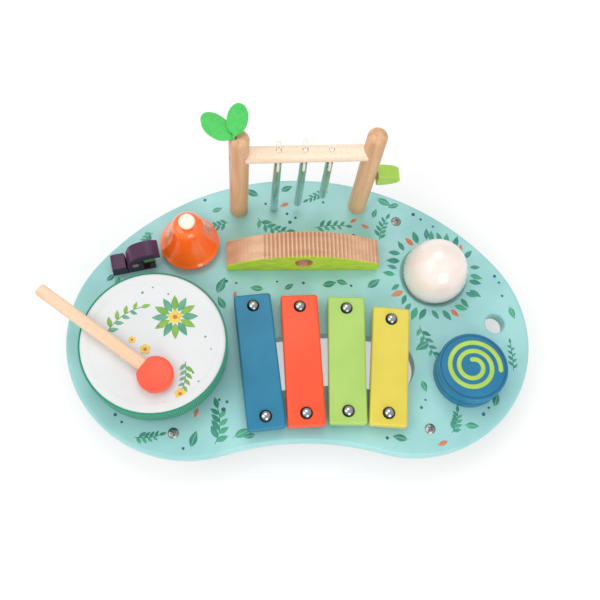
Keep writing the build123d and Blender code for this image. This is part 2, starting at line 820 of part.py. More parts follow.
def make_clacker_base():
    """Heel block, thin plate, the anvil that the knocker hits and two ears that hold the pin."""
    ear_width = (clacker_depth - knuckle_width) / 2 - seat_gap
    ear = pin_round(knuckle_r, ear_width)
    ear += block(clacker_pin_x - knuckle_r, clacker_pin_x + knuckle_r, ear_width, 0, clacker_pin_z)
    heel = block(0, heel_x, clacker_depth, 0, heel_h)
    heel = fillet(heel.edges().filter_by(Axis.Y).group_by(Axis.Z)[-1].sort_by(Axis.X)[0], heel_round)
    base = heel - pin_round(knuckle_r + knuckle_room, 2 * clacker_depth)
    base += block(0, anvil_to_x, clacker_depth, 0, plate_h)
    base += block(anvil_from_x, anvil_to_x, clacker_depth, 0, jaw_floor_z - knocker_h - seat_gap)
    base += [Pos(0, side * (clacker_depth - ear_width) / 2, 0) * ear for side in (-1, 1)]
    return base - pin_round(clacker_pin_r + fit_gap, 2 * clacker_depth)


def make_clacker_jaw():
    """Humped jaw whose middle knuckle turns between the ears of the base."""
    back = Spline(jaw_foot, jaw_shoulder, jaw_crown, jaw_nose, tangents=((0.5, 1), (1, -0.5)))
    under = Polyline(
        jaw_nose, (clacker_length, jaw_chin_z), (clacker_length, jaw_floor_z),
        (jaw_floor_x, jaw_floor_z), (jaw_neck_x, jaw_neck_z), (jaw_foot[0], jaw_neck_z), jaw_foot)
    body = slab(make_face([back, under]), clacker_depth)
    cheek = pin_round(knuckle_r + 2 * seat_gap, clacker_depth)
    reach = (knuckle_width + clacker_depth) / 2
    body -= [Pos(0, side * reach, 0) * cheek for side in (-1, 1)]
    return body + pin_round(knuckle_r, knuckle_width) - pin_round(clacker_pin_r + fit_gap, 2 * clacker_depth)


def make_knocker():
    """Block glued under the jaw."""
    knocker = block(knocker_from_x, knocker_to_x, knocker_width, jaw_floor_z - knocker_h, jaw_floor_z)
    return fillet(knocker.edges().filter_by(Axis.Y).group_by(Axis.Z)[0], knocker_round)


def add_clacker(pieces):
    """Clacker jaw with its knocker on the base's pin."""
    spot = at(clacker_point(0, 0), deck, clacker_turn)
    pieces["clacker_base"] = drilled(spot * make_clacker_base(), clacker_screws)
    pieces["clacker_jaw"] = spot * make_clacker_jaw()
    pieces["clacker_knocker"] = spot * make_knocker()
    pieces["clacker_pin"] = spot * pin_round(clacker_pin_r, clacker_depth)


# ------------------------------------------------------------------ castanet
def elastic_places():
    """Places of the two strands, in the frame with the hinge on the -X side."""
    x = elastic_inset - castanet_r + castanet_round
    return [Pos(x, side * elastic_spread / 2, 0) for side in (-1, 1)]


def make_castanet_half():
    """Disc with its hollow face down and two blind holes for the elastic."""
    disc = rod(castanet_r, 0, castanet_thick)
    disc = fillet(disc.edges().filter_by(GeomType.CIRCLE), castanet_round)
    ball_r = (castanet_scoop_r**2 + castanet_scoop**2) / (2 * castanet_scoop)
    disc -= Pos(0, 0, castanet_scoop - ball_r) * Sphere(ball_r)
    return disc - [place * rod(elastic_hole_r, -1, elastic_hole_depth) for place in elastic_places()]


def add_castanet(pieces):
    """Two discs laced together at the hinge, the upper one propped open."""
    spot = at(castanet_centre, deck, castanet_hinge_turn + 180)
    hinge_x = castanet_round - castanet_r
    lower = Pos(0, 0, castanet_thick) * Rot(180, 0, 0) * make_castanet_half()
    lid = Pos(-hinge_x, 0, 0) * make_castanet_half()
    lid = Pos(hinge_x, 0, castanet_thick + seat_gap) * Rot(0, -castanet_gape, 0) * lid
    strand = rod(elastic_r, castanet_thick - elastic_hole_depth + seat_gap, castanet_thick + elastic_reach)
    pieces["castanet_lower"] = drilled(spot * lower, castanet_screws)
    pieces["castanet_upper"] = spot * lid
    pieces["castanet_elastic"] = [spot * place * strand for place in elastic_places()]


# ------------------------------------------------------------------ twirl knob
def knob_place():
    """Location on the outer side of the right post at the knob's height."""
    return at(post_right_at + Vector(post_r, 0), deck + knob_z)


def knob_bore():
    """Bore in the right post that holds the knob's pin."""
    return knob_place() * Rot(0, 90, 0) * rod(knob_pin_r + fit_gap, -knob_pin_hold - fit_gap, 1)


def make_knob():
    """Half-oval paddle that turns on a pin along X."""
    profile = make_face([
        EllipticalCenterArc((0, 0), knob_length, knob_half_h, -90, arc_size=180),
        Line((0, knob_half_h), (0, -knob_half_h)),
    ])
    knob = slab(profile, knob_depth)
    knob = fillet(knob.faces().filter_by(Axis.Y).edges(), knob_round)
    return knob - Rot(0, 90, 0) * rod(knob_pin_r + fit_gap, -1, knob_pin_bore)


def add_knob(pieces):
    """Twirl knob and the pin it turns on."""
    pin = Rot(0, 90, 0) * rod(knob_pin_r, -knob_pin_hold, knob_pin_bore - knob_standoff)
    pieces["twirl_knob"] = knob_place() * Pos(knob_standoff, 0, 0) * make_knob()
    pieces["twirl_pin"] = knob_place() * pin


# ------------------------------------------------------------------ egg shaker
def egg_quarter(radius, height):
    """Quarter outline of the egg from its seam up to its pole."""
    return Bezier((radius, 0), (radius, egg_fullness * height), (egg_bluntness * radius, height), (0, height))


def egg_half(height):
    """Hollow half of the egg above its seam, open below."""
    inner_r = egg_r - egg_wall
    section = make_face([
        egg_quarter(egg_r, height),
        Line((0, height), (0, height - egg_wall)),
        egg_quarter(inner_r, height - egg_wall),
        Line((inner_r, 0), (egg_r, 0)),
    ])
    return revolve(Plane.XZ * section, Axis.Z)


def make_beads():
    """Loose beads in the blunt end: one in the middle and a ring round it."""
    room_r = egg_r - egg_wall - bead_r
    low = egg_down - egg_wall - bead_r - fit_gap
    ring_low = low * math.sqrt(1 - (bead_ring_r / room_r) ** 2) - fit_gap
    ring = ring_points(Vector(0, 0), bead_ring_r, bead_ring_count, 0.0)
    return [Pos(0, 0, -low) * Sphere(bead_r)] + [at(place, -ring_low) * Sphere(bead_r) for place in ring]


def add_egg(pieces):
    """Hollow egg in two halves with a lip at the seam and loose beads inside."""
    spot = at(nest_centre, deck + egg_waist_z)
    lip_r = egg_r - egg_wall - 2 * fit_gap
    lip = tube(lip_r, lip_r - egg_lip_wall, -2 * egg_lip, egg_lip)
    pieces["egg_upper"] = spot * egg_half(egg_up)
    pieces["egg_lower"] = spot * (Rot(180, 0, 0) * egg_half(egg_down) + lip)
    pieces["egg_beads"] = [spot * bead for bead in make_beads()]


# ------------------------------------------------------------------ mallet
def make_mallet_head():
    """Flat round head, cut flat at the handle and bored for its tenon."""
    head = rod(mallet_head_r, -mallet_head_h / 2, mallet_head_h / 2)
    head = fillet(head.edges().filter_by(GeomType.CIRCLE), mallet_head_round)
    head -= block(mallet_flat, 2 * mallet_head_r, 2 * mallet_head_r, -mallet_head_h, mallet_head_h)
    bore = rod(mallet_tenon_r + fit_gap, mallet_flat - mallet_tenon - fit_gap, mallet_reach)
    return head - Rot(0, 90, 0) * bore


def make_mallet_handle():
    """Handle of rounded section with a soft tip and a round tenon."""
    start = mallet_flat + fit_gap
    handle = Pos(start, 0, 0) * Box(
        mallet_reach - start, mallet_handle_w, mallet_handle_h,
        align=(Align.MIN, Align.CENTER, Align.CENTER))
    handle = fillet(handle.edges().filter_by(Axis.X), mallet_handle_round)
    handle = fillet(handle.faces().sort_by(Axis.X)[-1].edges(), mallet_tip_round)
    return handle + Rot(0, 90, 0) * rod(mallet_tenon_r, mallet_flat - mallet_tenon, start + 1)


def add_mallet(pieces):
    """Mallet that lies on the drum: a flat round head glued on a rounded handle."""
    spot = at(mallet_head_at, drum_top + seat_gap + mallet_head_h / 2, mallet_turn)
    pieces["mallet_head"] = spot * make_mallet_head()
    pieces["mallet_handle"] = spot * make_mallet_handle()


# ------------------------------------------------------------------ whole table
def build_pieces():
    """Every node of the table, as one solid or as a list of solids."""
    pieces = {"tabletop": make_tabletop()}
    add_feet(pieces)
    add_bars(pieces)
    add_drum(pieces)
    add_guiro(pieces)
    add_chimes(pieces)
    add_leaves(pieces)
    add_bell(pieces)
    add_clacker(pieces)
    add_castanet(pieces)
    add_knob(pieces)
    add_egg(pieces)
    add_mallet(pieces)
    return pieces


def as_compound(piece):
    """One compound of a node's solids."""
    items = piece if isinstance(piece, list) else [piece]
    return Compound([solid for item in items for solid in item.solids()])


compounds = {name: as_compound(piece) for name, piece in build_pieces().items()}
whole = Compound(list(compounds.values())).bounding_box()
centre_shift = Vector(-whole.center().X, -whole.center().Y, -whole.min.Z)

os.makedirs("parts", exist_ok=True)
for name, compound in compounds.items():
    export_step(Pos(centre_shift) * compound, f"parts/{name}.step")
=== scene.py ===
import math
import bmesh
import bpy
import numpy as np
from mathutils import Matrix, Vector


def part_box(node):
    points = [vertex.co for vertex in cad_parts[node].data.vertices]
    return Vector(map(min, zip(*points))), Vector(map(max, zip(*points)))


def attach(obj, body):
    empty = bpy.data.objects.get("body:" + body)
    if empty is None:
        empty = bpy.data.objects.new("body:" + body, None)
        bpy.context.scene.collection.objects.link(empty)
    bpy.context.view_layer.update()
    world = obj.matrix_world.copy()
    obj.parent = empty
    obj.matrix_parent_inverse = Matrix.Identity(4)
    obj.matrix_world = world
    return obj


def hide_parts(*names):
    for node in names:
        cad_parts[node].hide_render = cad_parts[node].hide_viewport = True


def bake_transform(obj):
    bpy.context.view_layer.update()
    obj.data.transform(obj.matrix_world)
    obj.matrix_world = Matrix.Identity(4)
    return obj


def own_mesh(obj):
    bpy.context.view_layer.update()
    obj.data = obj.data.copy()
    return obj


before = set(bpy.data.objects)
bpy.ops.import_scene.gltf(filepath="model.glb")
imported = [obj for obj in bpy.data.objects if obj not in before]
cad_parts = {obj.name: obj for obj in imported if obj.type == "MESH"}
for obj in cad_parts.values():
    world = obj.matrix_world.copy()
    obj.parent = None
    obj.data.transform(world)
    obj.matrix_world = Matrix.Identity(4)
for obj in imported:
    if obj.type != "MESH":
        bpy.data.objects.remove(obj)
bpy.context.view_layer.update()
mm = 0.001

# ----------------------------------------
# Camera: it stands over the child's edge of the table, a little to the left, and looks steeply
# down with a slight roll.


def show(name, data):
    """New object in the scene."""
    holder = bpy.data.objects.new(name, data)
    bpy.context.scene.collection.objects.link(holder)
    return holder


camera_eye = Vector((-50.7, -211.8, 672.2)) * mm
camera_aim = Vector((8.2, 11.0, 32.0)) * mm
camera_roll = math.radians(-11.87)
camera_lens = 49.16

forward = (camera_aim - camera_eye).normalized()
level_side = forward.cross(Vector((0, 0, 1))).normalized()
level_up = level_side.cross(forward)
camera_up = level_up * math.cos(camera_roll) + level_side * math.sin(camera_roll)
camera_turn = Matrix((forward.cross(camera_up), camera_up, -forward)).transposed()
camera_data = bpy.data.cameras.new("camera")
camera_data.lens = camera_lens
camera_data.sensor_width = 36.0
camera = show("camera", camera_data)
camera.matrix_world = Matrix.Translation(camera_eye) @ camera_turn.to_4x4()
bpy.context.scene.camera = camera
bpy.context.scene.view_settings.view_transform = "Standard"

# ----------------------------------------
# Tabletop: a bean-shaped plywood board with rounded edges, sprayed in turquoise satin lacquer.
# The lacquer is even, with a faint orange peel, and lets a hint of the wood's grain through.


def linear(code):
    """Linear colour of an sRGB hex code: the standard two-part curve, channel by channel."""
    channel = np.array([int(code[k:k + 2], 16) for k in (1, 3, 5)]) / 255
    return (*np.where(channel <= 0.04045, channel / 12.92, ((channel + 0.055) / 1.055) ** 2.4), 1.0)


def add(tree, kind, inputs=None, **settings):
    """Adds a shader node by its kind, sets its properties, and links or sets its inputs by name
    or by number."""
    node = tree.nodes.new("ShaderNode" + kind)
    for name, value in settings.items():
        setattr(node, name, value)
    for name, value in (inputs or {}).items():
        if isinstance(value, bpy.types.NodeSocket):
            tree.links.new(value, node.inputs[name])
        else:
            node.inputs[name].default_value = value
    return node


def blank(name, **constants):
    """New material with its shader's plain numbers set on the shader itself."""
    material = bpy.data.materials.new(name)
    material.use_nodes = True
    shader = material.node_tree.nodes["Principled BSDF"]
    for socket, value in constants.items():
        shader.inputs[socket.replace("_", " ")].default_value = value
    return material, material.node_tree, shader


def space(tree, size, turn=(0, 0, 0), centre=(0, 0, 0)):
    """Object coordinates turned with a piece and divided by a pattern's size in millimetres."""
    place = add(tree, "TexCoord").outputs["Object"]
    return add(tree, "Mapping", {
        "Vector": place, "Location": centre, "Rotation": turn, "Scale": tuple(np.full(3, size) * mm),
    }, vector_type="TEXTURE").outputs["Vector"]


def pattern(tree, size, turn=(0, 0, 0), detail=3.0, roughness=0.5, distortion=0.0):
    """Noise in that space, so that its cells have the pattern's real size."""
    return add(tree, "TexNoise", {
        "Vector": space(tree, size, turn), "Scale": 1.0, "Detail": detail, "Roughness": roughness,
        "Distortion": distortion,
    }).outputs["Fac"]


def spread(tree, value, low, high, to_low=0.0, to_high=1.0):
    """Value carried from one range to another and clipped there."""
    return add(tree, "MapRange", {
        "Value": value, "From Min": low, "From Max": high, "To Min": to_low, "To Max": to_high,
    }).outputs["Result"]


def reckon(tree, operation, first, second=0.0):
    """Result of one math operation on one or two values."""
    return add(tree, "Math", {0: first, 1: second}, operation=operation).outputs[0]


def overlay(tree, height, span, under, over, share=1.0):
    """Lays one colour over another where a value rises through a span, up to a share. A colour
    is a hex code or what an earlier layer gave."""
    factor = spread(tree, height, *span, 0.0, share)
    under, over = (linear(tone) if isinstance(tone, str) else tone for tone in (under, over))
    return add(tree, "Mix", {0: factor, 6: under, 7: over}, data_type="RGBA").outputs[2]


def surface(tree, shader, tone, height, strength, depth):
    """Links the shader's colour, and a pattern as its relief with a depth in millimetres."""
    tree.links.new(tone, shader.inputs["Base Color"])
    bump = add(tree, "Bump", {"Height": height, "Strength": strength, "Distance": depth * mm})
    tree.links.new(bump.outputs["Normal"], shader.inputs["Normal"])


def gloss(tree, shader, height, smooth, rough):
    """Lets the shader's roughness follow a pattern from its low places to its high ones."""
    tree.links.new(spread(tree, height, 0.3, 0.7, smooth, rough), shader.inputs["Roughness"])


def lacquer(name, code, shade, turn=0.0, roughness=0.36, coat=0.2):
    """Satin lacquer sprayed on wood: two close tones, a faint grain ridge and an orange peel."""
    material, tree, shader = blank(name, Specular_IOR_Level=0.3, Coat_Weight=coat, Coat_Roughness=0.22)
    clouds = pattern(tree, 34, detail=2.0)
    grain = pattern(tree, (22, 1.3, 1.3), (0, 0, turn))
    peel = pattern(tree, 0.9, detail=1.0)
    tone = overlay(tree, clouds, (0.35, 0.68), code, shade)
    tone = overlay(tree, grain, (0.46, 0.8), tone, shade, 0.22)
    surface(tree, shader, tone, reckon(tree, "ADD", grain, peel), 0.16, 0.12)
    gloss(tree, shader, peel, roughness - 0.05, roughness + 0.06)
    return material


def dress(material, *names):
    """Gives CAD nodes a finish in their own material slots."""
    for name in names:
        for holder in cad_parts[name].material_slots:
            holder.material = material


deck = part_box("tabletop")[1].z
dress(lacquer("turquoise_satin_lacquer", "#A4D9D7", "#96CECD", roughness=0.42), "tabletop")

# ----------------------------------------
# Printed sprigs: plain leaves on thin curved stems, berries and dots, screen printed in matt ink
# on the board. Each is a film of ink a few hundredths of a millimetre thick.
ink_film = 0.05 * mm
ink_step = 0.012 * mm
motifs_a_step = 24
stem_width = 0.55 * mm
midrib_width = 0.4 * mm


def grid_faces(rows, columns, start):
    """Quads of a rows by columns grid of points, numbered row by row from a start."""
    corner = (np.arange(rows - 1)[:, None] * columns + np.arange(columns - 1)).ravel() + start
    return np.column_stack([corner, corner + 1, corner + columns + 1, corner + columns])


def grid_piece(name, grids, material, body="table"):
    """One object from a list of grids of points, welded where their edges meet. With no body it
    is left unattached."""
    points, faces, start = [], [], 0
    for grid in grids:
        rows, columns = grid.shape[:2]
        points.append(grid.reshape(-1, 3))
        faces.append(grid_faces(rows, columns, start))
        start += rows * columns
    mesh = bpy.data.meshes.new(name)
    mesh.from_pydata(np.concatenate(points).tolist(), [], np.concatenate(faces).tolist())
    shell = bmesh.new()
    shell.from_mesh(mesh)
    bmesh.ops.remove_doubles(shell, verts=shell.verts, dist=0.002 * mm)
    bmesh.ops.dissolve_degenerate(shell, edges=shell.edges, dist=0.0005 * mm)
    bmesh.ops.recalc_face_normals(shell, faces=shell.faces)
    shell.to_mesh(mesh)
    shell.free()
    mesh.polygons.foreach_set("use_smooth", np.ones(len(mesh.polygons), bool))
    mesh.materials.append(material)
    piece = show(name, mesh)
    if body:
        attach(piece, body)
    return piece


def thicken(piece, thickness, offset=0.0):
    """Gives a sheet its thickness, to both sides, or inwards with an offset of -1."""
    wall = piece.modifiers.new("thickness", "SOLIDIFY")
    wall.thickness = thickness
    wall.offset = offset


def ink(name, code, shade):
    """Matt screen ink: the colour is a little mottled where the screen laid it thinner."""
    material, tree, shader = blank(name, Roughness=0.6)
    mottle = pattern(tree, 2.6, detail=4.0)
    wash = pattern(tree, 14, detail=1.0)
    tone = overlay(tree, wash, (0.35, 0.65), code, shade)
    tone = overlay(tree, mottle, (0.5, 0.75), tone, shade, 0.35)
    surface(tree, shader, tone, mottle, 0.08, 0.02)
    return material


def print_films(prints):
    """Makes one film of ink from each group of grids. Every group and every motif in it lies a
    hair higher than the one before, as inks printed one over another do."""
    for order, (name, grids, finish) in enumerate(prints):
        for k, grid in enumerate(grids):
            grid[..., 2] += (order + (k % motifs_a_step) / motifs_a_step) * ink_step
        thicken(grid_piece(name, grids, finish), ink_film)


def flat_leaf(x, y, heading, length, width, level):
    """Flat leaf: along its length the half width is a sine that leans towards the stalk."""
    u = np.linspace(0, 1, 15)[:, None]
    v = np.linspace(-1, 1, 5)[None, :]
    along = length * u + 0 * v
    across = v * width / 2 * np.sin(np.pi * u**0.85)
    turn_cos, turn_sin = math.cos(math.radians(heading)), math.sin(math.radians(heading))
    return np.stack([
        x + along * turn_cos - across * turn_sin, y + along * turn_sin + across * turn_cos,
        np.full_like(along, level)], axis=-1)


def once_round(count):
    """Row of angles once round, the last on the first."""
    return np.linspace(0, 2 * np.pi, count)[None, :]


def polar(x, y, radius, angle, height):
    """Grid of points round an upright axis, from radii, angles and heights that fit together."""
    return np.stack(np.broadcast_arrays(
        x + radius * np.cos(angle), y + radius * np.sin(angle), height), axis=-1)


def flat_disc(x, y, radius, level):
    """Flat disc: rings of points from the middle out."""
    return polar(x, y, radius * np.linspace(0, 1, 4)[:, None], once_round(21), level)


def flat_ribbon(x, y, width, level, columns=3):
    """Ribbon along a plan curve: the curve moved sideways by up to half the width."""
    ahead = np.stack([np.gradient(x), np.gradient(y)], axis=-1)
    ahead /= np.linalg.norm(ahead, axis=1)[:, None]
    side = np.linspace(-0.5, 0.5, columns)[None, :] * width
    return np.stack([
        x[:, None] - side * ahead[:, 1:], y[:, None] + side * ahead[:, :1],
        np.full((len(x), columns), level)], axis=-1)


def sprig(x, y, heading, reach, curl, leaf, level, stems, left, right):
    """Curved stem with pairs of leaves, added to the groups of stems and leaves. The heading
    turns evenly along the stem, and the leaves get a little smaller towards its tip."""
    steps, first_pair, pair_step = 24, 4, 5
    bend = np.radians(np.linspace(heading, heading + curl, steps))
    stem_x = x + np.cumsum(np.cos(bend)) * reach / steps
    stem_y = y + np.cumsum(np.sin(bend)) * reach / steps
    stems.append(flat_ribbon(stem_x, stem_y, stem_width, level))
    level += ink_step
    for k in range(first_pair, steps, pair_step):
        direction = math.degrees(bend[k])
        size = leaf * (1.0 - 0.015 * k)
        left.append(flat_leaf(stem_x[k], stem_y[k], direction + 46, size, size * 0.42, level))
        right.append(flat_leaf(stem_x[k - 2], stem_y[k - 2], direction - 48, size * 0.9, size * 0.4, level))
    left.append(flat_leaf(stem_x[-1], stem_y[-1], math.degrees(bend[-1]), leaf * 0.8, leaf * 0.34, level))


def ray(x, y, heading, reach):
    """Place at a distance from another, in a direction in degrees."""
    return x + reach * math.cos(math.radians(heading)), y + reach * math.sin(math.radians(heading))


def plan_middle(low, high):
    """Middle of a box in plan."""
    return (low.x + high.x) / 2, (low.y + high.y) / 2


# Each sprig is (x, y, heading, reach, curl, leaf length) in millimetres and degrees.
sprig_layout = [
    (-66, -106, 62, 30, 42, 12), (-128, -96, 346, 20, 30, 7.5), (-48, 84, 205, 20, -30, 7.5),
    (-24, 88, 300, 30, 60, 9.5), (24, 76, 12, 28, -20, 8), (80, 62, 84, 22, -30, 8),
    (122, -106, 50, 18, 34, 8), (106, -14, 282, 32, 18, 9), (-112, 76, 215, 16, 30, 7),
    (40, 110, 190, 20, 20, 7), (180, -58, 84, 24, 8, 6),
]
# Each single leaf is (x, y, heading, length), with a pale midrib.
leaf_places = [
    (-60, 20, 62, 15), (-54, 6, 118, 12), (-22, 108, 152, 13), (-2, 112, 22, 11), (82, 102, 328, 13),
    (76, 84, 64, 9), (112, -30, 208, 13), (-50, -100, 24, 14), (-34, -99, 192, 9), (-84, -106, 70, 13),
    (134, -100, 352, 11), (86, -109, 164, 12), (160, -86, 70, 12), (185, -2, 284, 11), (28, 23, 12, 12),
    (40, 27, 340, 10), (-22, 22, 172, 11), (66, 20, 32, 13), (-4, 21, 30, 9), (103, -62, 285, 10),
    (-62, 94, 20, 9), (100, 96, 196, 10), (-142, 26, 80, 11), (-150, 34, 40, 9),
]
berry_layout = [
    (-58, -78, 1.7), (-55, -72, 1.2), (-61, -70, 1.0), (4, 82, 1.6), (9, 86, 1.1), (2, 90, 1.2),
    (112, 86, 1.6), (118, 81, 1.1), (150, -92, 1.5), (155, -87, 1.0), (70, -107, 1.3), (-52, 30, 1.3),
    (-44, 28, 1.0), (-68, 105, 1.3), (176, 26, 1.4), (179, 20, 1.0), (58, 68, 1.3), (52, 22, 1.1),
    (12, 26, 1.2), (-10, 28, 0.9), (-142, -78, 1.3), (-137, -84, 1.0), (180, 8, 1.1), (100, -84, 1.2),
    (104, -78, 0.9), (-90, -107, 1.1), (34, 100, 1.0), (-16, 100, 1.1), (128, 74, 1.0),
]
film = deck + ink_film / 2
stems, first_leaves, second_leaves = [], [], []
for x, y, heading, reach, curl, leaf in sprig_layout:
    sprig(x * mm, y * mm, heading, reach * mm, curl, leaf * mm, film, stems, first_leaves, second_leaves)
berries = [flat_disc(x * mm, y * mm, radius * mm, film + ink_step) for x, y, radius in berry_layout]
midribs = []
for k, (x, y, heading, length) in enumerate(leaf_places):
    group = second_leaves if k % 3 == 1 else first_leaves
    group.append(flat_leaf(x * mm, y * mm, heading, length * mm, 0.46 * length * mm, film + ink_step))
    reach = np.linspace(-0.16, 0.86, 14) * length * mm
    midribs.append(flat_ribbon(*ray(x * mm, y * mm, heading, reach), midrib_width, film + 3 * ink_step))

# The wreath round the egg's nest: short leaves that stand out like rays, in two greens, with a
# coral one at every seventh place.
nest_x, nest_y = plan_middle(*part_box("egg_lower"))
wreath_r = 30.5 * mm
wreath_count = 30
coral_leaves = []
chance = np.random.default_rng(11)
for k in range(wreath_count):
    angle = (k + chance.uniform(-0.25, 0.25)) * 360 / wreath_count
    root_r = wreath_r + chance.uniform(0, 3) * mm
    length = chance.uniform(8.5, 12.5) * mm
    group = coral_leaves if k % 7 == 3 else first_leaves if k % 5 else second_leaves
    group.append(flat_leaf(*ray(nest_x, nest_y, angle, root_r), angle + chance.uniform(-20, 50), length,
                           0.42 * length, film + ink_step))
coral_places = [(-46, 14, 80, 7), (72, 74, 150, 8), (118, -112, 200, 9), (4, 100, 200, 8),
                (-78, -76, 250, 8), (56, 80, 30, 7)]
for x, y, heading, length in coral_places:
    coral_leaves.append(flat_leaf(x * mm, y * mm, heading, length * mm, length * 0.4 * mm, film + ink_step))

print_films((
    ("printed_stems", stems, ink("ink_deep_teal", "#2F7A78", "#3C8B86")),
    ("printed_leaves_dark", first_leaves, ink("ink_dark_green", "#2E8A74", "#4C9C8A")),
    ("printed_leaves_light", second_leaves, ink("ink_mid_green", "#52B083", "#3F9D83")),
    ("printed_leaves_coral", coral_leaves, ink("ink_coral", "#E0664A", "#D98A62")),
    ("printed_berries", berries, ink("ink_slate", "#2C5F6B", "#3E7280")),
    ("printed_midribs", midribs, ink("ink_pale_green", "#8FCBB8", "#A5D6C4")),
))

# ----------------------------------------
# Feet: four turned beech feet under the screws, each on a disc of pressed wool felt.


def beech(name, turn, light="#F0C9A4", dark="#DDAF85"):
    """Planed or turned beech in clear matt lacquer: soft bands and short dark flecks that run
    along x before the turn."""
    material, tree, shader = blank(name, Roughness=0.48, Coat_Weight=0.08, Coat_Roughness=0.3)
    bands = pattern(tree, (90, 5, 5), turn, distortion=0.5)
    fibre = pattern(tree, (14, 0.5, 0.5), turn, detail=4.0, roughness=0.6)
    fleck = pattern(tree, (3.2, 0.34, 0.5), turn, detail=1.0)
    tone = overlay(tree, bands, (0.36, 0.66), light, dark)
    tone = overlay(tree, fibre, (0.4, 0.72), tone, dark, 0.35)
    tone = overlay(tree, fleck, (0.63, 0.72), tone, "#B9835A", 0.5)
    surface(tree, shader, tone, fibre, 0.14, 0.08)
    return material


def felt(name, code, shade):
    """Pressed wool felt: a mat of fibres, drawn coarser than real so that it shows, with sheen."""
    material, tree, shader = blank(
        name, Roughness=0.95, Sheen_Weight=0.35, Sheen_Roughness=0.5, Specular_IOR_Level=0.2)
    fibre = pattern(tree, 0.5, detail=6.0, roughness=0.75, distortion=1.2)
    tuft = pattern(tree, 3.5, detail=2.0)
    tone = overlay(tree, fibre, (0.34, 0.7), code, shade)
    tone = overlay(tree, tuft, (0.4, 0.7), tone, shade, 0.4)
    surface(tree, shader, tone, fibre, 0.7, 0.25)
    return material


def turned(profile, x, y, segments=64):
    """Grid of a profile of (radius, height) pairs carried once round a vertical axis."""
    profile = np.array(profile)
    return polar(x, y, profile[:, :1], once_round(segments + 1), profile[:, 1:])


def felt_disc(low, high, inner=0.0, segments=64):
    """Felt disc or ring that fills a box in plan and height: a box with round edges in section."""
    outer = (high.x - low.x) / 2
    half = (high.z - low.z) / 2
    soft = 0.7 * half
    swing = np.linspace(-np.pi / 2, np.pi / 2, 11)
    lift = (half - soft) * np.where(swing < -0.01, -1, 1)
    edge = np.column_stack([soft * np.cos(swing) - soft, (low.z + high.z) / 2 + lift + soft * np.sin(swing)])
    rim = edge + [outer, 0]
    section = [[(0.0, low.z)], rim, [(0.0, high.z)]]
    if inner:
        section = [rim, edge[::-1] * [-1, 1] + [inner, 0], rim[:1]]
    return turned(np.concatenate(section), *plan_middle(low, high), segments)


corners = ("front_left", "front_right", "back_left", "back_right")
upright = (0, math.radians(90), 0)
dress(beech("turned_beech_feet", upright), *(f"foot_{corner}" for corner in corners))
grey_felt = felt("pressed_grey_felt", "#8F8E88", "#74736E")
for corner in corners:
    pad = grid_piece(f"felt_pad_{corner}", [felt_disc(*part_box(f"foot_pad_{corner}"))], grey_felt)
    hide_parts(f"foot_pad_{corner}")

# ----------------------------------------
# Screws: zinc plated steel with low domed heads and a cross recess, through the board into the
# feet. The screws of the instruments are driven from below and lie flush there.


def steel(name, code, roughness, scratch=0.05, rim=None):
    """Plated or drawn steel: a mirror-like metal whose gloss varies with fine handling marks.
    With a rim colour its steep sides are darker: painted shade and a painted dark reflection."""
    material, tree, shader = blank(name, Metallic=1.0)
    rub = pattern(tree, (6, 0.5, 2), (0.4, 0.2, 0.9))
    tone = overlay(tree, pattern(tree, 5, detail=2.0), (0.35, 0.7), code, "#B9BBBA", 0.5)
    if rim:
        facing = add(tree, "NewGeometry").outputs["Normal"]
        upwards = add(tree, "SeparateXYZ", {"Vector": facing}).outputs["Z"]
        tone = overlay(tree, upwards, (0.88, 0.68), tone, rim)
    surface(tree, shader, tone, rub, 0.05, 0.02)
    gloss(tree, shader, rub, roughness, roughness + 2 * scratch)
    return material


def loose_boxes(name):
    """Low and high corners of each separate solid of a CAD node, told apart by its plan place."""
    shell = bmesh.new()
    shell.from_mesh(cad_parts[name].data)
    bmesh.ops.remove_doubles(shell, verts=shell.verts, dist=0.001 * mm)
    boxes, unseen = [], set(shell.verts)
    while unseen:
        island, edge = [], [unseen.pop()]
        while edge:
            vertex = edge.pop()
            island.append(vertex.co.copy())
            for link in vertex.link_edges:
                other = link.other_vert(vertex)
                if other in unseen:
                    unseen.remove(other)
                    edge.append(other)
        places = np.array(island)
        boxes.append((Vector(places.min(0)), Vector(places.max(0))))
    shell.free()
    return sorted(boxes, key=lambda pair: (round(pair[0].x, 5), round(pair[0].y, 5)))


def cross_head(low, high, turn):
    """Screw with a domed head: the dome is a ball's cap, lowered inside a cross of two bars. A
    bar has its full depth over 0.6 of its half width and runs out at 1.6."""
    x, y = plan_middle(low, high)
    seat = high.z - head_h
    ring = np.concatenate([np.linspace(0, 0.96, 30), [1.0]])[:, None] * head_r
    angle = once_round(97)
    ball_r = (head_r**2 + head_h**2) / (2 * head_h)
    dome = seat + head_h - ball_r + np.sqrt(ball_r**2 - ring**2)
    along, aside = np.abs(ring * np.cos(angle - turn)), np.abs(ring * np.sin(angle - turn))
    bars = [np.clip(1 - np.maximum(a - cross_reach, 0) / cross_slope, 0, 1)
            * np.clip(1.6 - b / cross_half, 0, 1) for a, b in ((along, aside), (aside, along))]
    cap = polar(x, y, ring, angle, dome - cross_depth * np.maximum(*bars))
    return [cap, turned([(head_r, seat), (shank_r, seat), (shank_r, low.z), (0.0, low.z)], x, y, 96)]
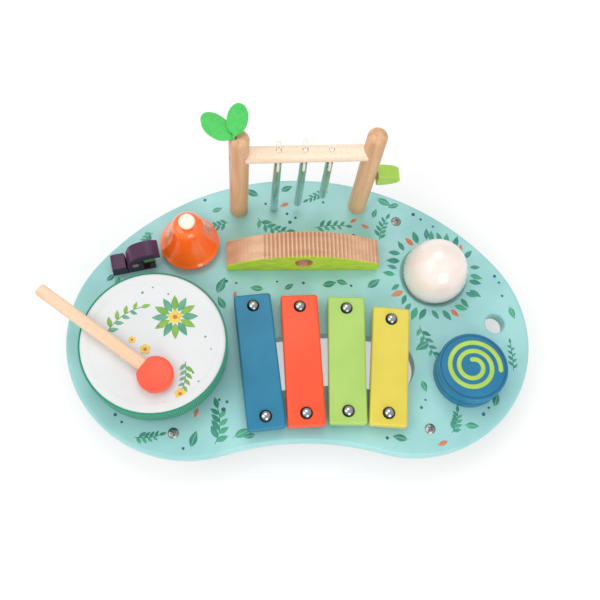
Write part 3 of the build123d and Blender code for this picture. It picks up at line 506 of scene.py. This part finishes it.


# The zinc heads get a darker rim colour on their steep sides: painted shade.
zinc = steel("zinc_plated_steel", "#A6A6A1", 0.3, rim="#5A5B5A")
head_r, head_h, shank_r = 4.3 * mm, 1.5 * mm, 2.2 * mm
cross_reach, cross_half = 2.1 * mm, 0.42 * mm
cross_slope, cross_depth = 0.3 * mm, 0.9 * mm
heads = []
for k, (low, high) in enumerate(loose_boxes("foot_screws")):
    heads += cross_head(low, high, 0.35 + 0.7 * k)
foot_screw_piece = grid_piece("cross_head_screws", heads, zinc)
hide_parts("foot_screws")
dress(zinc, "underside_screws")

# ----------------------------------------
# Tone bars: four flat wooden bars in blue, coral, green and yellow satin lacquer. Each rests on
# two felt rings and is held by two bright round-headed screws.
for name, code, shade, turn in (
    ("bar_blue", "#2680A4", "#1F7598", 93.6), ("bar_coral", "#FB5A32", "#F4522B", 89.8),
    ("bar_green", "#AFD26C", "#A4C962", 86.3), ("bar_yellow", "#E2D054", "#DAC74A", 82.8),
):
    dress(lacquer(f"satin_lacquer_{name}", code, shade, math.radians(turn), 0.38, 0.08), name)
washer_hole_r = 2.4 * mm
rings = [felt_disc(low, high, washer_hole_r, 40) for low, high in loose_boxes("bar_washers")]
washer_piece = grid_piece("felt_rings_under_bars", rings, grey_felt)
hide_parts("bar_washers")
# The chrome heads get a dark rim colour on their steep sides: painted shade round each head.
dress(steel("bright_chrome_plate", "#B9BBBE", 0.1, scratch=0.02, rim="#3A3C40"), "bar_screws")

# ----------------------------------------
# Drum: a round wooden wall in dark teal, a white printed sheet stretched over its rim, and a
# ribbed green elastic band that grips the sheet's skirt.
drum_low, drum_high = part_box("drum_skin")
drum_x, drum_y = plan_middle(drum_low, drum_high)
drum_r = (drum_high.x - drum_low.x) / 2
skin_top, skin_foot = drum_high.z, drum_low.z
skin_edge, skin_dish, skin_wall = 2.2 * mm, 0.6 * mm, 0.7 * mm
dish_share, dish_slope = 0.89, 0.022
dress(lacquer("dark_teal_lacquer", "#1F6B67", "#1A5C59"), "drum_shell")


def coated_cloth():
    """White coated cloth: fine weave, drawn at 0.6 mm so that it shows, under a satin coat."""
    material, tree, shader = blank("coated_drum_cloth", Roughness=0.5, Coat_Weight=0.15, Coat_Roughness=0.3)
    weave = add(tree, "TexWave", {
        "Vector": space(tree, 0.6), "Scale": 1.0, "Distortion": 0.6,
    }, wave_type="BANDS", bands_direction="DIAGONAL").outputs["Fac"]
    tone = overlay(tree, pattern(tree, 30, detail=2.0), (0.3, 0.7), "#E0E2E3", "#D9DCDD")
    surface(tree, shader, tone, weave, 0.06, 0.04)
    return material


def skin_profile():
    """Section of the sheet: dished a little within the wall, then flat, then rounded over the
    rim and straight down its side."""
    share = np.linspace(0.06, 0.945, 42)
    dish = skin_dish * np.clip((dish_share - share) / dish_slope, 0, 1)
    bend = np.linspace(0, np.pi / 2, 9)
    radius = [[0.0], share * drum_r, drum_r - skin_edge + skin_edge * np.sin(bend), [drum_r]]
    height = [[skin_top - skin_dish], skin_top - dish, skin_top - skin_edge + skin_edge * np.cos(bend),
              [skin_foot]]
    return np.column_stack([np.concatenate(radius), np.concatenate(height)])


skin = grid_piece("drum_sheet", [turned(skin_profile(), drum_x, drum_y, 128)], coated_cloth())
thicken(skin, skin_wall, -1.0)
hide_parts("drum_skin")

band_low, band_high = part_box("drum_band")
band_rise, band_swell = 2.2 * mm, 0.3 * mm
band_top = band_high.z + band_rise
band_r = (band_high.x - band_low.x) / 2 + band_swell
band_ribs = 236
rib_depth, edge_roll, band_gap = 0.5 * mm, 0.75 * mm, 0.06 * mm


def ribbed_band():
    """Band whose radius follows a row of round ribs, smooth at its two rolled edges: the radius
    falls by the rib depth times a squared cosine of the angle, and is drawn in at the edges."""
    angle = once_round(band_ribs * 6 + 1)
    t = np.array([0, 0.02, 0.06, 0.12, 0.2, 0.3, 0.45, 0.6, 0.72, 0.8, 0.88, 0.94, 0.98, 1.0])[:, None]
    ribbed = np.clip((t - 0.05) / 0.08, 0, 1) * np.clip((0.9 - t) / 0.08, 0, 1)
    roll = edge_roll * (1 - np.sqrt(np.clip(1 - (2 * t - 1) ** 24, 0, 1)))
    radius = band_r - roll - rib_depth * ribbed * np.cos(angle * band_ribs / 2) ** 2
    outer = polar(drum_x, drum_y, radius, angle, band_low.z + (band_top - band_low.z) * t)
    inner_r = drum_r + band_gap
    inner = turned([(inner_r, band_top), (inner_r, band_low.z)], drum_x, drum_y, band_ribs * 6)
    return [outer, np.stack([outer[-1], inner[0]]), inner, np.stack([inner[-1], outer[0]])]


def elastic_webbing():
    """Woven elastic in green, paler along the rib crests as a painted highlight, from the rib angle."""
    material, tree, shader = blank("ribbed_green_elastic", Roughness=0.7, Sheen_Weight=0.2)
    place = space(tree, 1, centre=(drum_x, drum_y, 0))
    place = add(tree, "SeparateXYZ", {"Vector": place}).outputs
    phase = reckon(tree, "MULTIPLY", reckon(tree, "ARCTAN2", place["Y"], place["X"]), float(band_ribs))
    fibre = pattern(tree, 0.35)
    # Paler on the rib crests and darker in the hollows between: painted highlight and painted shade.
    tone = overlay(tree, reckon(tree, "COSINE", phase), (1.0, -1.0), "#04785A", "#1FA884")
    tone = overlay(tree, fibre, (0.4, 0.75), tone, "#076B48", 0.4)
    surface(tree, shader, tone, fibre, 0.3, 0.1)
    return material


band = grid_piece("ribbed_drum_band", ribbed_band(), elastic_webbing())
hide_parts("drum_band")

# The print on the drum sheet: a round rosette of leaves, two curved branches, a loose scatter of
# dots and round blossoms of plain discs.
drum_film = skin_top - skin_dish + ink_film
drum_stem, drum_left, drum_right = [], [], []
rosette_leaves = 12
rosette_x, rosette_y, rosette_r = 17 * mm, 19 * mm, 5 * mm
for k in range(rosette_leaves):
    angle = k * 360 / rosette_leaves
    root = ray(drum_x + rosette_x, drum_y + rosette_y, angle, rosette_r)
    group = drum_left if k % 2 else drum_right
    group.append(flat_leaf(*root, angle, 13 * mm, 5.4 * mm, drum_film))
for x, y, heading, reach, curl, leaf in ((-36, 6, 64, 36, -50, 9.5), (24, -16, 280, 24, -34, 8.0)):
    sprig(drum_x + x * mm, drum_y + y * mm, heading, reach * mm, curl, leaf * mm, drum_film, drum_stem,
          drum_left, drum_right)
blossoms, hearts = [], []
petals = 5
for x, y, petal_r in ((17, 19, 2.2), (-6, -6, 1.7), (20, -42, 1.8), (-16, 2, 1.2)):
    x, y, petal_r = drum_x + x * mm, drum_y + y * mm, petal_r * mm
    for k in range(petals):
        petal = ray(x, y, 18 + k * 360 / petals, 1.5 * petal_r)
        blossoms.append(flat_disc(*petal, petal_r, drum_film + k * ink_step / 4))
    hearts.append(flat_disc(x, y, petal_r * 0.8, drum_film + 3 * ink_step))
dot_places = [(-8, 40, 0.9), (12, 38, 0.7), (40, 2, 0.8), (44, -8, 0.6), (30, -26, 0.8), (34, -33, 0.6),
              (4, 12, 0.8), (-44, 8, 0.7), (8, -48, 0.7), (0, 44, 0.6)]
dots = [flat_disc(drum_x + x * mm, drum_y + y * mm, radius * mm, drum_film) for x, y, radius in dot_places]
print_films((
    ("drum_print_stems", drum_stem, ink("ink_olive", "#5F8E3C", "#4F7F45")),
    ("drum_print_leaves", drum_left, ink("ink_leaf_green", "#8DBB4F", "#6FA84A")),
    ("drum_print_leaves_cool", drum_right, ink("ink_cool_green", "#4E9C7E", "#6FB08E")),
    ("drum_print_blossoms", blossoms, ink("ink_straw", "#EBD75A", "#E2C84E")),
    ("drum_print_hearts", hearts, ink("ink_brick", "#D9694B", "#CF7A50")),
    ("drum_print_dots", dots, ink("ink_slate_fine", "#54777A", "#6C8C8C")),
))

# ----------------------------------------
# Guiro: an arched beech block with scraping grooves along its bare back. Its two faces are
# painted lime, and a finger hole goes through the middle.
guiro_y = plan_middle(*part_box("guiro_block"))[1]
# Paint begins within the first span, out from the block's middle plane. The other spans are of
# the surface's unit normal: along x in the grooves and at the block's ends, along y on its faces.
paint_from = (8.2 * mm, 8.6 * mm)
groove_shade_span, block_end = (0.36, 0.5), (0.9, 0.8)
near_face, far_face = (-0.5, -0.6), (0.85, 0.92)


def guiro_finish():
    """Bare beech above and lime paint where the surface faces along y: the paint's edge follows
    the turn of the surface, on the near side out over the broken edge."""
    material, tree, shader = blank("planed_beech_lime_faces", Roughness=0.5)
    along = (0, 0, math.radians(-1.8))
    fibre = pattern(tree, (13, 0.5, 0.5), along, detail=4.0, roughness=0.6)
    wood = overlay(tree, pattern(tree, (80, 6, 6), along), (0.36, 0.66), "#EEC4A2", "#DFB08B")
    wood = overlay(tree, fibre, (0.42, 0.74), wood, "#C08E68", 0.3)
    facing = add(tree, "NewGeometry").outputs["True Normal"]
    facing = add(tree, "SeparateXYZ", {"Vector": facing}).outputs
    endwise = reckon(tree, "ABSOLUTE", facing["X"])
    wall = reckon(tree, "MULTIPLY", spread(tree, endwise, *groove_shade_span), spread(tree, endwise, *block_end))
    # The walls of the scraping grooves are coloured darker: painted shade in the grooves.
    wood = overlay(tree, wall, (0.0, 1.0), wood, "#A36F4A", 0.45)
    paint = overlay(tree, pattern(tree, (9, 9, 4)), (0.4, 0.62), "#C8DF2A", "#AFCE2E")
    steep = reckon(tree, "MAXIMUM", spread(tree, facing["Y"], *near_face),
                   spread(tree, facing["Y"], *far_face))
    place = add(tree, "TexCoord").outputs["Object"]
    place = add(tree, "SeparateXYZ", {"Vector": place}).outputs
    off_middle = reckon(tree, "ABSOLUTE", reckon(tree, "SUBTRACT", place["Y"], guiro_y))
    painted = reckon(tree, "MULTIPLY", steep, spread(tree, off_middle, *paint_from))
    surface(tree, shader, overlay(tree, painted, (0.0, 1.0), wood, paint), fibre, 0.15, 0.08)
    return material


dress(guiro_finish(), "guiro_block")

# ----------------------------------------
# Chime frame: two beech dowel posts with domed ends, and a slimmer pale beech rail between them,
# coped to the posts and held by a screw from each side.
dress(beech("dowel_beech_posts", upright, "#E8BD97", "#D3A075"), "post_left", "post_right")
dress(beech("pale_beech_rail", (0, 0, 0), "#FDE9D3", "#F5DABB"), "chime_rail")
dress(zinc, "chime_rail_screws")

# ----------------------------------------
# Chimes: three bright drawn aluminium tubes, each hung on a white braided cotton cord that passes
# through the tube and runs up both its sides. A thin natural cord is tied in a round knot in the
# rail's hole, and its loop stands out above the rail.
cord_r = 1.05 * mm
cord_strands = 8
cord_lay = 3.4 * mm
ring_step = 0.34 * mm


def drawn_aluminium():
    """Drawn aluminium tube: fine draw lines along z, a cool tint and soft gloss."""
    material, tree, shader = blank("drawn_aluminium_tube", Metallic=1.0)
    lines = pattern(tree, (0.25, 0.25, 60))
    haze = pattern(tree, (5, 5, 14), detail=2.0)
    surface(tree, shader, overlay(tree, haze, (0.35, 0.7), "#DDE6E4", "#C3CFCD"), lines, 0.06, 0.03)
    gloss(tree, shader, lines, 0.12, 0.26)
    return material


def braided_cotton(name, code, shade):
    """Braided cord: the strands are in the shape, and fine fibres run over them."""
    material, tree, shader = blank(name, Roughness=0.85, Sheen_Weight=0.3)
    fibre = pattern(tree, (0.2, 0.2, 0.5), detail=4.0)
    surface(tree, shader, overlay(tree, fibre, (0.42, 0.75), code, shade, 0.5), fibre, 0.3, 0.05)
    return material


def smooth_line(points):
    """Points along a NURBS line of order three through a route, as Blender evaluates it."""
    curve = bpy.data.curves.new("route", "CURVE")
    curve.dimensions = "3D"
    spline = curve.splines.new("NURBS")
    spline.points.add(len(points) - 1)
    spline.points.foreach_set("co", np.column_stack([points, np.ones(len(points))]).ravel())
    spline.use_endpoint_u = True
    spline.order_u = 3
    spline.resolution_u = 14
    holder = bpy.data.objects.new("route", curve)
    line = bpy.data.meshes.new_from_object(holder)
    places = np.array([vertex.co for vertex in line.vertices])
    bpy.data.objects.remove(holder)
    bpy.data.curves.remove(curve)
    bpy.data.meshes.remove(line)
    return places


def capped(tube, first, last):
    """Grid of rings with a point at each end that closes it."""
    rings = (1, tube.shape[1], 1)
    return np.concatenate([np.tile(first, rings), tube, np.tile(last, rings)])


def braid_along(line, radius, flat_normal):
    """Braided tube along a line: two families of strands wind opposite ways, and the radius
    rises where either one's crest passes: r (0.9 + 0.14 max of the two crests)."""
    step = np.linalg.norm(np.diff(line, axis=0), axis=1)
    run = np.concatenate([[0], np.cumsum(step)])
    even = np.linspace(0, run[-1], max(12, int(run[-1] / ring_step)))
    line = np.stack([np.interp(even, run, line[:, k]) for k in range(3)], axis=-1)
    ahead = np.gradient(line, axis=0)
    ahead /= np.linalg.norm(ahead, axis=1)[:, None]
    side = np.cross(ahead, flat_normal)
    side /= np.linalg.norm(side, axis=1)[:, None]
    other = np.cross(ahead, side)
    angle = once_round(25)
    wind = 2 * np.pi * even[:, None] / cord_lay
    turn = cord_strands / 2 * angle
    reach = radius * (0.9 + 0.14 * np.maximum(np.cos(turn + wind), np.cos(turn - wind + np.pi / 2)))
    ring = np.cos(angle)[..., None] * side[:, None] + np.sin(angle)[..., None] * other[:, None]
    return capped(line[:, None] + reach[..., None] * ring, line[0], line[-1])


dress(drawn_aluminium(), "chime_1", "chime_2", "chime_3")
white_cord = braided_cotton("white_braided_cotton", "#F4F3EE", "#CFCEC6")
cord_neck, cord_neck_end = 0.95 * mm, 1.2 * mm
cord_side, cord_shoulder, cord_hole = 4.25 * mm, 4.15 * mm, 14.5 * mm
hang_gap = 0.3 * mm
loop_half, loop_foot, knot_level = 1.2 * mm, 1.5 * mm, 11.9 * mm
loop_rises = (4.2 * mm, 5.0 * mm, 1.4 * mm)
loop_lean, loop_neck, loop_belly, loop_low = 1.4, 0.5, 1.6, 0.6
knot_r, knot_half = 2.1 * mm, 1.1 * mm
knot_swing = np.linspace(-np.pi / 2, np.pi / 2, 13)
loop_tubes = []
for k, rise in enumerate(loop_rises):
    low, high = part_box(f"chime_cord_{k + 1}")
    pivot = np.array([*plan_middle(low, high), high.z + hang_gap])
    half = np.array([(0, cord_neck, -hang_gap), (0, cord_neck, -cord_neck_end),
                     (0, cord_side, -cord_shoulder), (0, cord_side, -cord_hole)])
    line = smooth_line(pivot + np.concatenate([half * [1, -1, 1], half[::-1]]))
    cord = grid_piece(f"braided_cord_{k + 1}", [braid_along(line, cord_r, (1, 0, 0))],
                      white_cord, None)
    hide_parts(f"chime_cord_{k + 1}")
    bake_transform(cord)
    half = np.array([(loop_half, 0, loop_foot), (loop_half, 0, loop_low * knot_level),
                     (loop_neck * loop_half, 0, knot_level),
                     (loop_belly * loop_half, loop_lean * rise, knot_level + rise)])
    line = smooth_line(pivot + np.concatenate([half * [-1, 1, 1], half[::-1]]))
    loop_tubes.append(braid_along(line, 0.5 * cord_r, (0, 1, 0)))
    knot = np.column_stack([knot_r * np.cos(knot_swing), knot_level + knot_half * np.sin(knot_swing)])
    loop_tubes.append(turned(knot + [0, pivot[2]], pivot[0], pivot[1], 32))
natural_cord = braided_cotton("natural_braided_cotton", "#FBEDDD", "#F0DFCC")
loops = grid_piece("knotted_cord_loops", loop_tubes, natural_cord)
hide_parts("chime_cord_loops")

# ----------------------------------------
# Leaves: two pieces of thick green wool felt, cut round, whose stems sit in a socket in the left
# post's end and are held there by a pin.
post_low, post_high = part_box("post_left")
leaf_inset, leaf_thick = 3.9 * mm, 1.9 * mm
leaf_root = np.array([*plan_middle(post_low, post_high), post_high.z]) - [leaf_inset, 0, 0]
stem_depth, stem_bend, stem_taper, stem_apart = 5.0 * mm, 2.2 * mm, 3.0 * mm, 1.03 * mm
stem_half, blade_lap = 2.3 * mm, 0.8 * mm
crease_depth, crease_share, blade_arch = 0.35 * mm, 0.14, 0.9 * mm
# Each leaf is (turn, lean, length, width, rise, side, cup) in degrees and millimetres; its side
# is where its stem lies in the socket.
leaf_layout = {
    "leaf_left": (151.0, 22.0, 24.0, 18.0, 1.4, -1, 1.0),
    "leaf_right": (71.0, 42.0, 20.2, 15.4, 4.6, 0.1, 1.5),
}


def felt_leaf(turn, lean, length, width, rise, side, cup):
    """Leaf as a strip carried along a spine that leaves the socket upright and bends over to its
    own direction. Past the bend the half width is an ellipse; the blade is cupped by the square
    of the way across and creased along its middle."""
    mirror = -1 if turn > 90 else 1
    s = np.linspace(-stem_depth - rise, length, 60)
    level = np.array(ray(0, 0, turn, 1) + (0,))
    ahead = level * math.cos(math.radians(lean)) + [0, 0, math.sin(math.radians(lean))]
    share = np.clip((s + stem_bend) / stem_bend, 0, 1)[:, None]
    share = share * share * (3 - 2 * share)
    heading = (1 - share) * [0, 0, 1] + share * ahead
    heading /= np.linalg.norm(heading, axis=1)[:, None]
    spine = np.cumsum(heading * (s[1] - s[0]), axis=0)
    spine += leaf_root + [side * stem_apart, 0, -stem_depth] - spine[0]
    across = (1 - share) * [0, 1, 0] + share * mirror * np.array([-level[1], level[0], 0])
    across /= np.linalg.norm(across, axis=1)[:, None]
    out = np.cross(across, heading) * mirror
    centre, half = length / 2 - blade_lap, length / 2 + blade_lap
    ellipse = width / 2 * np.clip(1 - np.abs((s - centre) / half) ** 2.2, 0, 1) ** 0.5
    half_width = np.maximum(ellipse, stem_half * np.clip((stem_taper - s) / stem_taper, 0, 1))
    half_width[-1] = 0.0
    v = np.linspace(-1, 1, 17)[None, :]
    lift = share * (cup * v**2 - crease_depth * np.exp(-(v / crease_share) ** 2))
    lift = lift + share * blade_arch * np.sin(np.clip(s / length, 0, 1) * np.pi)[:, None]
    return (spine[:, None] + across[:, None] * (v * half_width[:, None])[..., None]
            + out[:, None] * lift[..., None])


green_felt = felt("green_wool_felt", "#6BDC74", "#3DBB56")
for name, (turn, lean, length, width, rise, side, cup) in leaf_layout.items():
    blade = felt_leaf(turn, lean, length * mm, width * mm, rise * mm, side, cup * mm)
    leaf = grid_piece(f"felt_{name}", [blade], green_felt)
    thicken(leaf, leaf_thick)
    soften = leaf.modifiers.new("soft_edge", "SUBSURF")
    soften.levels = soften.render_levels = 1
    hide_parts(name)
dress(zinc, "leaf_pin")

# ----------------------------------------
# Push bell: a flared steel bell in orange gloss enamel on a hollow pillar, with a cream button
# over its crown that drives a small striker inside.


def gloss_enamel(name, code, shade, roughness=0.14, glow=0.0):
    """Stoved gloss enamel: one even colour, slightly deeper in broad patches, under a clear coat
    with a long soft orange peel. A glow in its own colour is painted light on its shaded side."""
    material, tree, shader = blank(name, Roughness=roughness, Coat_Weight=0.8, Coat_Roughness=0.06,
                                   Emission_Color=linear(code), Emission_Strength=glow)
    broad = pattern(tree, 18, detail=1.0)
    peel = pattern(tree, 1.6, detail=1.0)
    surface(tree, shader, overlay(tree, broad, (0.35, 0.7), code, shade), peel, 0.05, 0.06)
    return material


cream_plastic = gloss_enamel("moulded_cream_plastic", "#F3ECD2", "#ECE3C6", 0.25)
bell_steel = steel("bright_mild_steel", "#C4C5C4", 0.2)
bell_low, bell_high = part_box("bell_dome")
bell_wall = 0.8 * mm
bell_profile = np.array([
    (24, 0.3), (24.3, 1.3), (24, 2.6), (22.9, 3.7), (22.1, 4.7), (21.5, 6.1), (19.95, 9), (17.8, 14),
    (16, 20), (14.5, 26), (13.2, 31.5), (11.9, 35.2), (10, 37.7), (7.6, 38.9), (5.2, 39), (3.2, 39)]) * mm


def rounded(profile, count):
    """Profile as a Catmull-Rom line: each span's cubic leaves and arrives along its neighbours."""
    ends = np.concatenate([2 * profile[:1] - profile[1:2], profile, 2 * profile[-1:] - profile[-2:-1]])
    t = np.linspace(0, 1, count, endpoint=False)[:, None]
    spans = [0.5 * (2 * b + (c - a) * t + (2 * a - 5 * b + 4 * c - d) * t**2
                    + (3 * b - a - 3 * c + d) * t**3)
             for a, b, c, d in zip(ends, ends[1:], ends[2:], ends[3:])]
    return np.concatenate(spans + [profile[-1:]])


bell_grid = turned(rounded(bell_profile, 6) + [0, bell_low.z], *plan_middle(bell_low, bell_high), 96)
# The bell's enamel glows a little in its own colour: painted light that brightens its shaded lower front.
bell = grid_piece("enamelled_bell", [bell_grid],
                  gloss_enamel("orange_bell_enamel", "#FF6C1C", "#FF6014", glow=0.18))
thicken(bell, bell_wall, -1.0)
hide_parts("bell_dome")
dress(cream_plastic, "bell_button", "bell_base")
dress(bell_steel, "bell_bush", "bell_striker", "bell_pivot_pin")

spring_low, spring_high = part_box("bell_spring")
spring_wire_r, spring_coils = 0.35 * mm, 4


def coil_spring():
    """Wire of round section along a helix, closed by a point at each end."""
    turn = np.linspace(0, 2 * np.pi * spring_coils, 40 * spring_coils)[:, None]
    around = once_round(11)
    reach = (spring_high.x - spring_low.x) / 2 - spring_wire_r + spring_wire_r * np.cos(around)
    rise = spring_high.z - spring_low.z - 2 * spring_wire_r
    height = spring_low.z + spring_wire_r + rise * turn / turn[-1] + spring_wire_r * np.sin(around)
    coil = polar(*plan_middle(spring_low, spring_high), reach, turn, height)
    return capped(coil, coil[0].mean(axis=0), coil[-1].mean(axis=0))


spring = grid_piece("button_spring", [coil_spring()], bell_steel)
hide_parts("bell_spring")
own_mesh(spring)
dress(zinc, "bell_base_screws")

# ----------------------------------------
# Clacker: a purple lacquered jaw on a beech pin over a base with an anvil, and a lime knocker
# glued under the jaw.
along_clacker = math.radians(10.0)
dress(lacquer("plum_satin_lacquer", "#532C4E", "#411F3E", along_clacker, 0.42, 0.06),
      "clacker_base", "clacker_jaw")
dress(lacquer("lime_satin_knocker", "#8CC63F", "#7DB936", along_clacker), "clacker_knocker")
dress(beech("beech_clacker_pin", (0, 0, along_clacker + math.pi / 2), "#E5B7A0", "#CF9880"),
      "clacker_pin")

# ----------------------------------------
# Castanet: two hollowed wooden discs in blue satin lacquer, laced together with black elastic,
# with a plain lime spiral printed on the upper one.
dress(lacquer("deep_blue_satin", "#1F7BA3", "#186D94", 0.0, 0.36, 0.05), "castanet_lower",
      "castanet_upper")


def lid_plane():
    """Centre, normal and two directions of the lid's flat top. The normal is the mean of its
    faces that look up, and the centre is the middle of the lid's box moved up into the plane."""
    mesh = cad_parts["castanet_upper"].data
    points, normals = np.empty((len(mesh.vertices), 3)), np.empty((len(mesh.polygons), 3))
    areas = np.empty(len(mesh.polygons))
    mesh.vertices.foreach_get("co", points.ravel())
    mesh.polygons.foreach_get("normal", normals.ravel())
    mesh.polygons.foreach_get("area", areas)
    upward = normals[:, 2] > 0.99
    normal = (normals[upward] * areas[upward, None]).sum(0)
    normal /= np.linalg.norm(normal)
    centre = (points.min(0) + points.max(0)) / 2
    centre += normal * ((points @ normal).max() - centre @ normal)
    across = np.cross([0, 1.0, 0], normal)
    across /= np.linalg.norm(across)
    return centre, normal, across, np.cross(normal, across)


lid_centre, lid_normal, lid_across, lid_up = lid_plane()
spiral_turns, spiral_start = 2.35, 1.9
spiral_inner, spiral_outer, spiral_width = 5.5 * mm, 22.0 * mm, 3.7 * mm
rim_shade_r, rim_shade_width = 26.2 * mm, 1.0 * mm


def on_lid(x, y):
    """Places on the lid's top, a film of ink above it, from two distances along it."""
    return lid_centre + lid_normal * ink_film + x[..., None] * lid_across + y[..., None] * lid_up


def lid_spiral():
    """Flat spiral of constant width with round ends on the lid: the radius grows evenly with
    the angle, and the half width is a circle's at both ends."""
    t = np.linspace(0, 1, 220)
    angle = spiral_start - 2 * np.pi * spiral_turns * t
    radius = spiral_inner + (spiral_outer - spiral_inner) * t
    x, y = radius * np.cos(angle), radius * np.sin(angle)
    run = np.concatenate([[0], np.cumsum(np.hypot(np.diff(x), np.diff(y)))])
    left = np.minimum(np.minimum(run, run[-1] - run) / (spiral_width / 2), 1)
    ribbon = flat_ribbon(x, y, spiral_width * np.sqrt(1 - (1 - left[:, None]) ** 2), 0.0, 5)
    return on_lid(ribbon[..., 0], ribbon[..., 1])


def lid_rim_shade():
    """Flat ring of constant width on the lid, close to its rim: painted shade at the lid's edge."""
    angle = once_round(97)
    radius = np.linspace(rim_shade_r - rim_shade_width, rim_shade_r, 3)[:, None]
    return on_lid(radius * np.cos(angle), radius * np.sin(angle))


# A dark blue ring round the lid's edge stands for the shade there: painted shade, not a print.
rim_shade = grid_piece("painted_rim_shade", [lid_rim_shade()], ink("painted_rim_shade_ink", "#175F85", "#125377"),
                    "castanet_lid_body")
thicken(rim_shade, ink_film)
spiral = grid_piece("spiral_print", [lid_spiral()], ink("ink_lime", "#B3D45E", "#A6CB55"),
                    "castanet_lid_body")
thicken(spiral, ink_film)
black_elastic = braided_cotton("black_braided_elastic", "#2A2A2C", "#131314")
lace_r = 1.15 * mm
strands = []
for low, high in loose_boxes("castanet_elastic"):
    x, y = plan_middle(low, high)
    line = np.linspace((x, y, low.z), (x, y, high.z), 24)
    strands.append(braid_along(line, lace_r, (1, 0, 0)))
elastic = grid_piece("castanet_elastic_strands", strands, black_elastic)
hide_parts("castanet_elastic")

# ----------------------------------------
# Twirl knob: a half-oval wooden paddle in lime lacquer that turns on a steel pin in the right
# post.
dress(lacquer("lime_satin_lacquer", "#B4DA5C", "#A3CF52", 0.0, 0.34, 0.25), "twirl_knob")
dress(bell_steel, "twirl_pin")

# ----------------------------------------
# Egg shaker: a hollow turned egg, blunt end up, in warm white gloss lacquer, with loose steel
# beads inside. It rests on the cone of its nest.
egg_r = 26.7 * mm
egg_waist = 39.8 * mm
egg_top = 72.4 * mm
egg_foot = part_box("egg_lower")[0].z
swing = np.linspace(-np.pi / 2, np.pi / 2, 73)
egg_height = egg_waist + np.sin(swing) * np.where(swing > 0, egg_top - egg_waist, egg_waist - egg_foot)
egg = grid_piece("turned_egg", [turned(np.column_stack([egg_r * np.cos(swing), egg_height]),
                                       nest_x, nest_y, 128)],
                 gloss_enamel("warm_white_gloss_lacquer", "#FCEFE8", "#F6E4DA", 0.26),
                 "egg_body")
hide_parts("egg_upper", "egg_lower")
dress(bell_steel, "egg_beads")

# ----------------------------------------
# Mallet: a flat round wooden head in coral lacquer, glued on a rounded beech handle.
mallet_turn = math.radians(140.9)
dress(lacquer("coral_satin_lacquer", "#FC5F44", "#F4563B", mallet_turn, 0.38, 0.1), "mallet_head")
dress(beech("planed_beech_handle", (0, 0, mallet_turn), "#F8D6B8", "#EBC19B"), "mallet_handle")

# ----------------------------------------
# Floor and light: a plain white sweep under a broad soft light from above and behind, with a
# paler fill from the left and another from the front. Eye rays see the floor near white, and it
# keeps the soft shadow of the table.
floor_mesh = bpy.data.meshes.new("floor")
floor_reach = 6.0
floor_corners = [(x * floor_reach, y * floor_reach, 0) for x, y in ((-1, -1), (1, -1), (1, 1), (-1, 1))]
floor_mesh.from_pydata(floor_corners, [], [(0, 1, 2, 3)])
floor = show("floor", floor_mesh)


def floor_finish():
    """Matt white floor that shows bright to the eye and in reflections, and still takes shadow."""
    material = bpy.data.materials.new("matt_white_floor")
    material.use_nodes = True
    tree = material.node_tree
    tree.nodes.clear()
    rays = add(tree, "LightPath").outputs
    seen = reckon(tree, "MAXIMUM", rays["Is Camera Ray"], rays["Is Glossy Ray"])
    seen = reckon(tree, "MAXIMUM", seen, rays["Is Transmission Ray"])
    place = add(tree, "TexCoord").outputs["Object"]
    away = add(tree, "VectorMath", {0: place}, operation="LENGTH").outputs["Value"]
    share = reckon(tree, "MULTIPLY", seen, spread(tree, away, 0.35, 1.0, 0.5, 1.0))
    matt = add(tree, "BsdfDiffuse", {"Color": (0.9, 0.9, 0.9, 1)}).outputs[0]
    glow = add(tree, "Emission", {"Color": (1, 1, 1, 1), "Strength": 1.1}).outputs[0]
    mixed = add(tree, "MixShader", {0: share, 1: matt, 2: glow}).outputs[0]
    add(tree, "OutputMaterial", {"Surface": mixed})
    return material


floor_mesh.materials.append(floor_finish())
light_aim = Vector((0, 0, 0.03))


def soft_light(name, place, size, power):
    """Square area light that looks from a place at the table, in metres and watts."""
    lamp = bpy.data.lights.new(name, "AREA")
    lamp.shape = "SQUARE"
    lamp.size = size
    lamp.energy = power
    holder = show(name, lamp)
    holder.location = place
    holder.rotation_euler = (light_aim - Vector(place)).to_track_quat("-Z", "Y").to_euler()


soft_light("key", (-0.05, 0.75, 1.35), 0.9, 6.2)
soft_light("fill", (-0.9, -0.1, 1.1), 1.0, 4.8)
soft_light("front", (0.3, -1.15, 0.6), 0.8, 6.0)
world = bpy.data.worlds.new("studio")
bpy.context.scene.world = world
world.use_nodes = True
sky = world.node_tree
sky.nodes.clear()
eye_rays = add(sky, "LightPath").outputs
white_sky = reckon(sky, "MAXIMUM", eye_rays["Is Camera Ray"], eye_rays["Is Transmission Ray"])
backdrop = add(sky, "Background", {
    "Color": (1, 1, 1, 1), "Strength": spread(sky, white_sky, 0.0, 1.0, 0.62, 1.0)}).outputs[0]
add(sky, "OutputWorld", {"Surface": backdrop})

bpy.context.view_layer.update()
